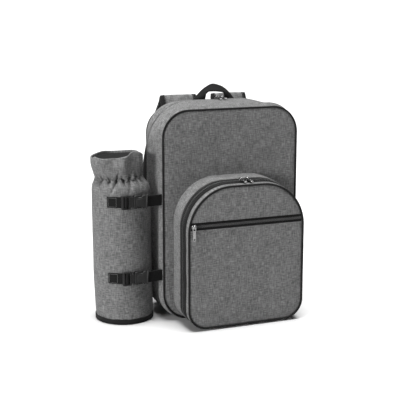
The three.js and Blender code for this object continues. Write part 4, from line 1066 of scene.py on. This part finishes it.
def pad_frames(side):
    """Places along a shoulder strap, with directions along, across and out, half its width and its thickness.
    It is pressed thin where it is sewn to the back panel, and thinner again at its lower end."""
    rows = np.array(PAD_ROWS)
    path = curve_through(np.stack([side * (PAD_NEAR + (PAD_FAR - PAD_NEAR) * rows[:, 2]) + rows[:, 4],
                                   PAD_SEAT + PAD_BOW * rows[:, 0],
                                   PAD_END + (PAD_TOP - PAD_END) * rows[:, 1]], 1), 9)
    steps = np.arange(len(path))
    wide = np.interp(steps / steps[-1], np.linspace(0, 1, len(rows)), rows[:, 3])
    along = unit(np.gradient(path, axis=0))
    across = np.tile([float(side), 0, 0], (len(path), 1))
    outward = unit(np.cross(across, along)) * side
    length = lengths_along(path)
    sewn_end, free_end = np.clip(length / 26, 0, 1), np.clip((length[-1] - length) / 16, 0, 1)
    pressed = 0.42 + 0.58 * np.sin(sewn_end * np.pi / 2)
    thick = PAD_THICK * pressed * (0.6 + 0.4 * np.sin(free_end * np.pi / 2))
    path = path + outward * ((PAD_THICK - thick) / 2 * np.clip(1 - steps / 16, 0, 1))[:, None]
    return path, along, across, outward, wide * PAD_WIDE / 2, thick, length[-1] - length


def pad_cloth(side):
    """The pad: crowned between its bound edges, and slightly uneven where the foam gives."""
    path, _, across, outward, half, thick, left = pad_frames(side)
    half = half - 1.3 - (6 - np.sqrt(36 - np.clip(6 - left, 0, 6) ** 2))
    shares = np.concatenate([[-1, -0.96, -0.88, -0.76], np.linspace(-0.6, 0.6, 9), [0.76, 0.88, 0.96, 1]])
    crown = 0.62 + 0.38 * (1 - np.abs(shares) ** 3.2)
    crown[[0, -1]] *= 0.55
    both = np.concatenate([shares, shares[::-1]])
    facing = np.concatenate([-crown, crown[::-1]])
    rings = (path[:, None] + both[None, :, None] * (half[:, None] * across)[:, None]
             + facing[None, :, None] * (thick[:, None] / 2 * outward)[:, None])
    ease = np.clip((1 - np.abs(both)) * 6, 0, 1) * np.sign(facing)
    give = (0.4 * uneven(rings, 26, 31) + 0.2 * uneven(rings, 11, 32)) * ease
    return shell("pad", rings + outward[:, None] * give[..., None])


def pad_edge(side):
    """The line of a pad's edge, directions out of it and out of its face, and half the tape's thickness."""
    path, along, across, outward, half, thick, _ = pad_frames(side)
    last, corner = len(path) - 1, 9
    runs = {}
    for sign in (-1, 1):
        run = [(path[i] + sign * across[i] * half[i], sign * across[i], outward[i], thick[i])
               for i in range(last - 6)]
        centre = path[last] + sign * across[last] * (half[last] - corner) - along[last] * (corner - 3.5)
        for turn in np.linspace(0.1, math.pi / 2, 8):
            out = sign * across[last] * math.cos(turn) + along[last] * math.sin(turn)
            run.append((centre + corner * out, out, outward[last], thick[last]))
        runs[sign] = run
    line = runs[-1] + runs[1][::-1]
    at, out, face, thick = (np.array([place[k] for place in line]) for k in range(4))
    return at, out, face, thick * 0.34 + 0.9


def pad_tape(at, out, face, half):
    """The binding: tape folded over the edge in a C, with its own edges turned in."""
    sections = []
    for h in half:
        over = [(-TAPE_WRAP, h + 0.5), (2 - TAPE_WRAP, h + 0.4), (-1.7, h), (-0.45, h * 0.72)]
        under = [(-TAPE_WRAP, h - 0.6), (-2.1, h - 1.1), (-1.5, 0)]
        sections.append([(x, -y) for x, y in over] + [(0, 0)] + over[::-1]
                        + under + [(x, -y) for x, y in under[1::-1]])
    return swept("tape", at, out, face, sections)


def shoulder_strap(name, side):
    pad = sewn(f"shoulder_pad_{name}_cloth", pad_cloth(side), melange, [f"shoulder_pad_{name}"])
    at, out, face, half = pad_edge(side)
    tape_mesh = pad_tape(at, out, face, half)
    sewn(f"shoulder_binding_{name}_tape", tape_mesh, bias_tape, [f"shoulder_binding_{name}"])
    for facing, label in ((1, "outer"), (-1, "inner")):
        row = at - out * (TAPE_WRAP - 1.3) + face * (facing * (half + 0.45))[:, None]
        stitched(f"pad_{name}_{label}_stitches", row, face * facing)
    path, _, across, outward, wide, thick, _ = pad_frames(side)
    for i, label in ((2, "lower"), (5, "upper")):
        row = (path[i] + np.linspace(-1, 1, 12)[:, None] * across[i] * (wide[i] - 9)
               - outward[i] * (thick[i] / 2 + 0.1))
        stitched(f"pad_{name}_seat_{label}_stitches", row, np.tile(-outward[i], (12, 1)))


for name, side in (("left", -1), ("right", 1)):
    shoulder_strap(name, side)

# Ladder adjusters: moulded acetal, black, hung in a loop of webbing at each pad's end. The strap webbing
# comes up from a bottom corner of the back panel, goes over the middle bar and hangs down as a short tail.
ADJUSTER_WIDE, ADJUSTER_LONG, ADJUSTER_THICK, ADJUSTER_BAR = 32, 26, 4, 4
ADJUSTER_DROP = 4.1
STRAP_WIDE, STRAP_THICK = 25, 1.5
STRAP_ANCHOR = (92, 61.3, 30)
STRAP_TAIL = 60
# The webbing's way through the adjuster: shares of its length from the upper bar, and of its thickness.
THREADING = [
    (1.2, -0.85), (0.9, -0.85), (0.5, -0.85), (0.31, -0.72), (0.26, 0), (0.31, 0.72), (0.5, 0.85),
    (0.9, 0.85), (1.2, 0.85),
]


def moulded_acetal():
    """Acetal, injection moulded against a fine spark-eroded texture: black, satin, with a soft highlight."""
    finish, tree = fresh("acetal_moulded_satin")
    place = add(tree, "ShaderNodeTexCoord").outputs["Object"]
    grain = add(tree, "ShaderNodeTexNoise", {"Scale": 1400, "Detail": 3}, {"Vector": place}).outputs["Fac"]
    cloudy = add(tree, "ShaderNodeTexNoise", {"Scale": 90, "Detail": 2}, {"Vector": place}).outputs["Fac"]
    rough = add(tree, "ShaderNodeMapRange", {"To Min": 0.36, "To Max": 0.52}, {"Value": cloudy})
    grey = add(tree, "ShaderNodeMix", {"data_type": "RGBA", 6: linear("#0c0c0c"), 7: linear("#171717")},
               {0: cloudy})
    bump = add(tree, "ShaderNodeBump", {"Strength": 0.12, "Distance": 0.0001}, {"Height": grain})
    skin = add(tree, "ShaderNodeBsdfPrincipled", {"IOR": 1.48, "Specular IOR Level": 0.25},
               {"Base Color": grey.outputs[2], "Roughness": rough.outputs[0], "Normal": bump.outputs[0]})
    return surfaced(finish, tree, skin)


acetal = moulded_acetal()


def adjuster_mesh(side):
    """A frame of three bars with rounded edges, in the pad's direction at its end."""
    half = ADJUSTER_WIDE / 2
    window = (ADJUSTER_LONG - 3 * ADJUSTER_BAR) / 2
    reach = half - ADJUSTER_BAR * 0.75
    windows = []
    for i in range(2):
        low = -ADJUSTER_LONG + ADJUSTER_BAR + i * (window + ADJUSTER_BAR)
        windows.append(box_loop(-reach, low, reach, low + window, 1.0, 3)[::-1])
    frame_plate = stamped(box_loop(-half, -ADJUSTER_LONG, half, 0, 3), windows, ADJUSTER_THICK, 0.9)
    path, along, across, outward, *_ = pad_frames(side)
    origin = path[-1] + along[-1] * ADJUSTER_DROP
    turn = Matrix(np.stack([across[-1], -along[-1], -outward[-1] * side, origin], 1).tolist())
    turn.resize_4x4()
    return joined("adjuster", [(frame_plate, Matrix.Scale(MM, 4) @ turn)])


def strap_webbing(name, side):
    path, along, across, outward, *_ = pad_frames(side)
    end, a, o = path[-1], along[-1], outward[-1]
    start = np.array(STRAP_ANCHOR) * [side, 1, 1]
    threaded = [end + a * (ADJUSTER_DROP + long * ADJUSTER_LONG) + o * off * ADJUSTER_THICK
                for long, off in THREADING]
    points = [start, start + [0, 0, 12.5], *threaded, threaded[-1] + [0, 1.5, -STRAP_TAIL / 2],
              threaded[-1] + [0, 0.5, -STRAP_TAIL]]
    run = curve_through(points, 8)
    wide = np.tile([float(side), 0, 0], (len(run), 1))
    webbing_band(f"strap_webbing_{name}_band", run, wide, STRAP_WIDE, STRAP_THICK, [f"strap_webbing_{name}"])
    bar = [(-9, 1.6), (-3, 1.7), (1, 2.7), (3.2, 2.9), (4.4, 2.4), (4.9, 0), (4.4, -2.4), (3.2, -2.9),
           (1, -2.7), (-3, -1.7), (-9, -1.6)]
    loop = curve_through([end + a * (ADJUSTER_DROP + x) + o * y for x, y in bar], 5)
    webbing_band(f"adjuster_{name}_loop", loop, np.tile(across[-1], (len(loop), 1)), 22, 1.1)


for name, side in (("left", -1), ("right", 1)):
    frame_mesh = adjuster_mesh(side)
    sewn(f"strap_adjuster_{name}_moulding", frame_mesh, acetal, [f"strap_adjuster_{name}"])
    strap_webbing(name, side)

# Bottle holder: a tube of the melange cloth over foam, sewn up its side and into a round base, with a cord
# drawn through it under the open collar. The cloth gathers there, and the collar flares in soft folds.
HOLDER_X = -191.3
# Height, radius, and how far the axis leans out to the left there.
HOLDER_SHAPE = [
    (0, 51.4, -3.8), (10, 52.2, -3.5), (49, 53, -2.3), (140, 53.2, -0.6), (234, 53, 0), (246, 52.3, 0.4),
    (252, 50.4, 1.0), (257, 46.8, 2.0), (262, 43.6, 2.9), (266, 42.8, 3.6), (272, 43.8, 4.8),
    (280, 45.6, 5.9), (290, 46.8, 6.5), (300, 46.9, 6.5), (314, 46.2, 6.5),
]
# Angle from the bag's side, a quarter turn back being to the front, and how high the rim stands there.
HOLDER_RIM = [
    (-180, 300), (-166, 303.5), (-142, 302), (-118, 303), (-106, 303.6), (-94, 306), (-82, 307.5),
    (-70, 312), (-58, 313), (-46, 310.5), (-34, 307), (-15, 305), (10, 305), (30, 306), (50, 305),
    (86, 303.3), (110, 304.5), (130, 303), (155, 300.5),
]
# Angle, and how far the collar's folds stand out above the neck.
COLLAR_FOLDS = [
    (-175, 0), (-155, 2.8), (-135, 0.6), (-112, -4.6), (-93, 4.2), (-70, -3.8), (-50, 2.2), (-30, 0.9),
    (0, -2.4), (30, 2.4), (60, -2), (90, 1.5), (120, -2), (150, 1),
]
# Creases at the neck: angle, depth, how far they slant to the right for each millimetre up, and their reach
# above and below the cord.
NECK_CREASES = [
    (-171, 3.2, 0.1, 8, 9), (-152, 4.2, 0.15, 9, 10), (-131, 4.4, -0.2, 8, 8), (-112, 5.0, 0.62, 11, 15),
    (-96, 3.6, -0.25, 7, 7), (-80, 4.8, 0.45, 10, 14), (-62, 4.2, 0.1, 9, 9), (-43, 4.6, 0.5, 12, 11),
    (-20, 4, 0, 9, 10), (3, 4.2, 0.2, 10, 10), (27, 4, -0.2, 9, 10), (50, 4.4, 0.1, 10, 9),
    (74, 4, 0.3, 9, 10), (97, 4.2, -0.2, 10, 10), (120, 4, 0.1, 9, 9), (146, 4.2, 0.2, 9, 10),
]
SIDE_SEAM = -36
HOLDER_COLUMNS = 264


def all_round(angle, table):
    """A value of a table by angle, smooth and closed round the full turn."""
    rows = [(a + turn, v) for turn in (-360, 0, 360) for a, v in table]
    return eased(angle, rows, 1)


def gathered(angle, z, radius):
    """How far gathers, folds and slack move the holder's cloth out at an angle and a height."""
    near = np.exp(-(((z - 264) / 11) ** 2))
    total = 1.1 * near * (1 + 0.6 * np.sin(np.radians(angle * 5 + 40)))
    for at, depth, slant, above, below in NECK_CREASES:
        away = (angle - at - slant * (z - 264) + 180) % 360 - 180
        reach = np.where(z > 264, above, below)
        total -= 1.6 * depth * np.exp(-((away / 3.3) ** 2)) * np.exp(-(((z - 264) / reach) ** 2))
    line = 264.5 + 3.2 * np.sin(np.radians(angle * 17)) + 1.8 * np.sin(np.radians(angle * 31 + 60))
    total -= 3.4 * np.exp(-(((z - line) / 1.6) ** 2))
    flare = np.clip((z - 264) / 26, 0, 1)
    total += all_round(angle, COLLAR_FOLDS) * flare * flare * (3 - 2 * flare)
    seam = (angle - SIDE_SEAM + 180) % 360 - 180
    total += (0.9 * np.exp(-((seam / 1.1) ** 2)) - 0.5 * np.exp(-(((seam - 2.2) / 1.3) ** 2))) * (z < 258)
    place = np.stack([radius * np.cos(np.radians(angle)), radius * np.sin(np.radians(angle)), z], -1)
    calm = np.clip(z / 20, 0, 1)
    slack = calm * (0.75 * uneven(place, 62, 41) + 0.3 * uneven(place, 23, 42))
    return total + slack + near * 0.9 * uneven(place, 8, 43)


def holder_ring(z, inward, angle):
    """A ring of the holder at a height, some way inside its face."""
    z = np.broadcast_to(z, angle.shape)
    radius = eased(z, HOLDER_SHAPE, 1)
    out = radius + gathered(angle, z, radius) * (1 - 0.35 * min(inward / 4, 1)) - inward
    turn = np.radians(angle)
    return np.stack([HOLDER_X - eased(z, HOLDER_SHAPE, 2) + out * np.cos(turn), out * np.sin(turn), z], 1)


def holder_cloth():
    angle = np.linspace(-180, 180, HOLDER_COLUMNS, endpoint=False) + 0.3
    rim = all_round(angle, HOLDER_RIM)
    rings = [holder_ring(0.9, 20, angle), holder_ring(0.9, 1.5, angle)]
    rings += [holder_ring(z, 0, angle) for z in (*np.arange(2, 240, 5.5), *np.arange(240, 286, 1.0))]
    rings += [holder_ring(286 + (rim - 286) * share, 0, angle) for share in np.linspace(0, 1, 12)]
    for inward, rise in ((0.4, 0.8), (1.2, 1.3), (2.0, 1.2), (2.7, 0.5), (3, -1)):
        rings.append(holder_ring(rim + rise, inward, angle))
    rings += [holder_ring(rim - down, 3.1, angle) for down in (3, 6, 9, 12)]
    rings += [holder_ring(z, 3.6, angle) for z in (*np.arange(284, 240, -2.0), 200, 140, 80, 30, 8)]
    return shell("bottle_holder_cloth", rings)


def holder_lining():
    """The lining: a thin cloth inside the holder, sewn in under the collar's hem, near black as painted
    shade.
    """
    angle = np.linspace(-180, 180, HOLDER_COLUMNS // 2, endpoint=False) + 0.3
    rim = all_round(angle, HOLDER_RIM)
    rings = [holder_ring(rim - 3, 3.3, angle), holder_ring(rim - 3, 4.2, angle)]
    rings += [holder_ring(rim - down, 4.4, angle) for down in (5, 8, 12)]
    heights = (*np.arange(284, 240, -2.0), 220, 180, 120, 60, 30, 11, 9.4)
    rings += [holder_ring(z, 4.5, angle) for z in heights]
    rings += [holder_ring(9.2, 12, angle), holder_ring(9.1, 40, angle)]
    return shell("bottle_holder_lining", rings)


# The lining's near-black colour is painted shade: it darkens the inside of the holder, where shade falls.
lining = ribbed_cloth("lining_taffeta_painted_shade", "#161616", "#242424", 0.5, 0.7, 0, "Y", 0.15)
sewn("bottle_holder_cloth", holder_cloth(), melange, ["bottle_holder"])
sewn("bottle_holder_lining", holder_lining(), lining)
for label, away in (("left", -2.6), ("right", 2.8)):
    heights = np.linspace(14, 250, 60)
    path = np.array([holder_ring(np.array([z]), -0.15, np.array([SIDE_SEAM + away]))[0] for z in heights])
    face = np.tile([math.cos(math.radians(SIDE_SEAM)), math.sin(math.radians(SIDE_SEAM)), 0], (60, 1))
    stitched(f"holder_seam_{label}_stitches", path, face)

# The holder's lower edge is bound with 10 mm of the black tape, folded over the seam between tube and base.


def base_tape():
    angle = np.linspace(-180, 180, HOLDER_COLUMNS, endpoint=False)
    turn = np.radians(angle)
    rings = []
    for radius, z in ((50.2, 10), (52.4, 10.1), (53.1, 9.7), (53.5, 8.4), (53.7, 5), (53.5, 2.2), (52.9, 0.7),
                      (51.6, 0), (46, 0.05), (46, 0.8), (50, 1.2)):
        edge = 0.35 * np.sin(turn * 9 + 1) + 0.25 * np.sin(turn * 23) if z > 8 else 0 * turn
        place = np.stack([radius * np.cos(turn), radius * np.sin(turn), 0 * turn + z], 1)
        out = radius + 0.25 * uneven(place, 14, 44)
        rings.append(np.stack([HOLDER_X + 3.6 + out * np.cos(turn), out * np.sin(turn), z + edge], 1))
    return shell("holder_base_tape", rings, looped=True)


sewn("holder_base_tape", base_tape(), bias_tape, ["holder_bottom_binding"])

# Straps that hold the bottle holder: 20 mm webbing sewn to its front, threaded through the ladder end of a
# moulded side-release buckle, whose socket hangs on webbing from the bag. A plain strap joins them behind.
STRAP_HEIGHTS = {"upper": 227, "lower": 88}
BUCKLE_LINE = -57.3
LADDER_RIGHT, SOCKET_LEFT = -186, -185.7
# From the sewn end round the holder, through the ladder's slots and back: x and y.
THREADED = [(-206, -53.3), (-203.4, -54.6), (-202.5, -57.4), (-201.6, -60.3), (-200, -61.3), (-198.3, -60.4),
            (-197.4, -57.4), (-198.2, -54.4), (-201, -52.6)]
BAG_END = [(-163, -56.9), (-157, -57.4), (-149, -56.6), (-141, -55.4), (-132.4, -54.2), (-130.6, -53.8)]
REAR_END = [(-126.5, 38.6), (-130.5, 40.7), (-147, 46.3), (-165, 50.4)]


def round_holder(angle, by):
    return HOLDER_X + (53 + by) * math.cos(math.radians(angle)), (53 + by) * math.sin(math.radians(angle))


def ladder_mesh():
    slots = [box_loop(left, -10.6, right, 10.6, 0.8, 3)[::-1] for left, right in ((-18, -15), (-13, -9.6))]
    frame_plate = stamped(box_loop(-22, -12.5, -5.4, 12.5, 2), slots, 5.4, 0.8)
    neck = stamped(box_loop(-6.5, -8.6, 1.5, 8.6, 1), [], 3.2, 0.5)
    raised = Matrix.Translation((0, 0, 2.8))
    ribs = [(stamped(box_loop(-8.9, z - 0.45, -6.1, z + 0.45, 0.3, 2), [], 0.8, 0.2), raised)
            for z in (-6, 0, 6)]
    return joined("ladder", [(frame_plate, Matrix()), (neck, Matrix()), *ribs])


def socket_mesh():
    half = [(0, 11.5), (5, 12.5), (7, 8.6), (14, 8.6), (17, 12.5), (22.5, 12), (24.5, 10.5)]
    body = stamped([(x, -z) for x, z in half] + [(x, z) for x, z in half[::-1]], [], 8, 1.7)
    mouth = stamped(box_loop(-0.2, -11.2, 2.2, 11.2, 0.8), [], 8.6, 0.6)
    crown = stamped(box_loop(4.5, -6.2, 18.5, 6.2, 3), [], 1.4, 0.6)
    lip = stamped(box_loop(-1.7, -13.4, 1.7, 13.4, 1.4), [], 4.6, 1.1)
    catches = [(stamped(box_loop(6.4, s * 10.2 - 1.5, 14.6, s * 10.2 + 1.5, 1), [], 3.6, 0.7), Matrix())
               for s in (-1, 1)]
    place = (Matrix.Translation((24.2, 0, 2.4)) @ Matrix.Rotation(math.radians(-24), 4, "Y")
             @ Matrix.Rotation(-0.09, 4, "Z"))
    on_top = Matrix.Translation((0, 0, 3.9))
    return joined("socket", [(body, Matrix()), (mouth, Matrix()), (crown, on_top), (lip, place), *catches])


ladder_shape, socket_shape = ladder_mesh(), socket_mesh()


def level_band(name, points, height, stands_for=()):
    """A band of the holder's webbing along points of x and y, standing on edge at a height."""
    run = curve_through([(x, y, height) for x, y in points], 7)
    webbing_band(name, run, np.tile([0, 0, 1.0], (len(run), 1)), 20, 1.5, stands_for)


def holder_strap(name, height):
    stand = (Matrix.Scale(MM, 4) @ Matrix.Translation((0, BUCKLE_LINE, height))
             @ Matrix.Rotation(math.pi / 2, 4, "X"))
    for label, shape, x in (("ladder", ladder_shape, LADDER_RIGHT), ("socket", socket_shape, SOCKET_LEFT)):
        mesh = shape.copy()
        mesh.transform(stand @ Matrix.Translation((x, 0, 0)))
        sewn(f"buckle_{label}_{name}_moulding", mesh, acetal, [f"buckle_{label}_{name}"])
    patch = [round_holder(angle, 1.0) for angle in (-134, -130, -126, -121, -116)]
    patch.append(round_holder(-111.5, 1.4))
    level_band(f"holder_webbing_{name}_band", patch + THREADED, height, [f"holder_webbing_{name}"])
    level_band(f"bag_webbing_{name}_band", BAG_END, height, [f"bag_webbing_{name}"])
    behind = REAR_END + [round_holder(angle, 1.0) for angle in (88, 95, 103, 111, 119, 126)]
    level_band(f"rear_webbing_{name}_band", behind, height, [f"rear_webbing_{name}"])
    box = [(-131.5, -8), (-131.5, 8), (-116, 8), (-116, -8), (-131.5, -8)]
    line = np.concatenate([np.linspace(start, end, 12, endpoint=False) for start, end in zip(box, box[1:])])
    at = np.array([(*round_holder(angle, 1.85), height + up) for angle, up in line])
    face = np.array([(math.cos(math.radians(angle)), math.sin(math.radians(angle)), 0) for angle, _ in line])
    stitched(f"holder_webbing_{name}_stitches", at, face, 2.6)


for name, height in STRAP_HEIGHTS.items():
    holder_strap(name, height)

# Studio: a wide pale floor that the camera sees to its horizon, a soft light from the left at the height of
# the bag, a soft light from above and a little light all round. None of it is part of the object.


def studio():
    mesh = bpy.data.meshes.new("floor")
    mesh.from_pydata([(-400, -400, 0), (400, -400, 0), (400, 400, 0), (-400, 400, 0)], [], [(0, 1, 2, 3)])
    floor = bpy.data.objects.new("floor", mesh)
    bpy.context.scene.collection.objects.link(floor)
    finish, tree = fresh("matt_white_paper")
    skin = add(tree, "ShaderNodeBsdfPrincipled", {"Base Color": linear("#b4b4b4"), "Roughness": 0.95})
    mesh.materials.append(surfaced(finish, tree, skin))
    world = bpy.data.worlds.new("studio")
    world.use_nodes = True
    backdrop = world.node_tree.nodes["Background"]
    backdrop.inputs["Color"].default_value = (1, 1, 1, 1)
    # The backdrop is seen white above the floor's horizon and lights the bag only a little.
    seen = add(world.node_tree, "ShaderNodeLightPath").outputs["Is Camera Ray"]
    share = add(world.node_tree, "ShaderNodeMapRange", {"To Min": 0.09, "To Max": 1.0}, {"Value": seen})
    world.node_tree.links.new(share.outputs[0], backdrop.inputs["Strength"])
    bpy.context.scene.world = world
    bpy.context.scene.view_settings.view_transform = "Standard"
    for name, towards, strength, spread in (("left_softbox", (-0.91, -0.36, 0.09), 6.1, 24),
                                            ("top_softbox", (0.0, -0.03, 1.0), 8.9, 40)):
        lamp = bpy.data.lights.new(name, "SUN")
        lamp.energy, lamp.angle = strength, math.radians(spread)
        holder = bpy.data.objects.new(name, lamp)
        bpy.context.scene.collection.objects.link(holder)
        holder.rotation_euler = Vector(towards).to_track_quat("Z", "Y").to_euler()
    camera = bpy.data.cameras.new("camera")
    camera.lens, camera.sensor_width = 90, 36
    stand = bpy.data.objects.new("camera", camera)
    bpy.context.scene.collection.objects.link(stand)
    stand.location = (-0.7150, -1.7042, 0.5885)
    stand.rotation_euler = (math.radians(90 - 11.7), 0, math.radians(-21.7))
    bpy.context.scene.camera = stand


studio()
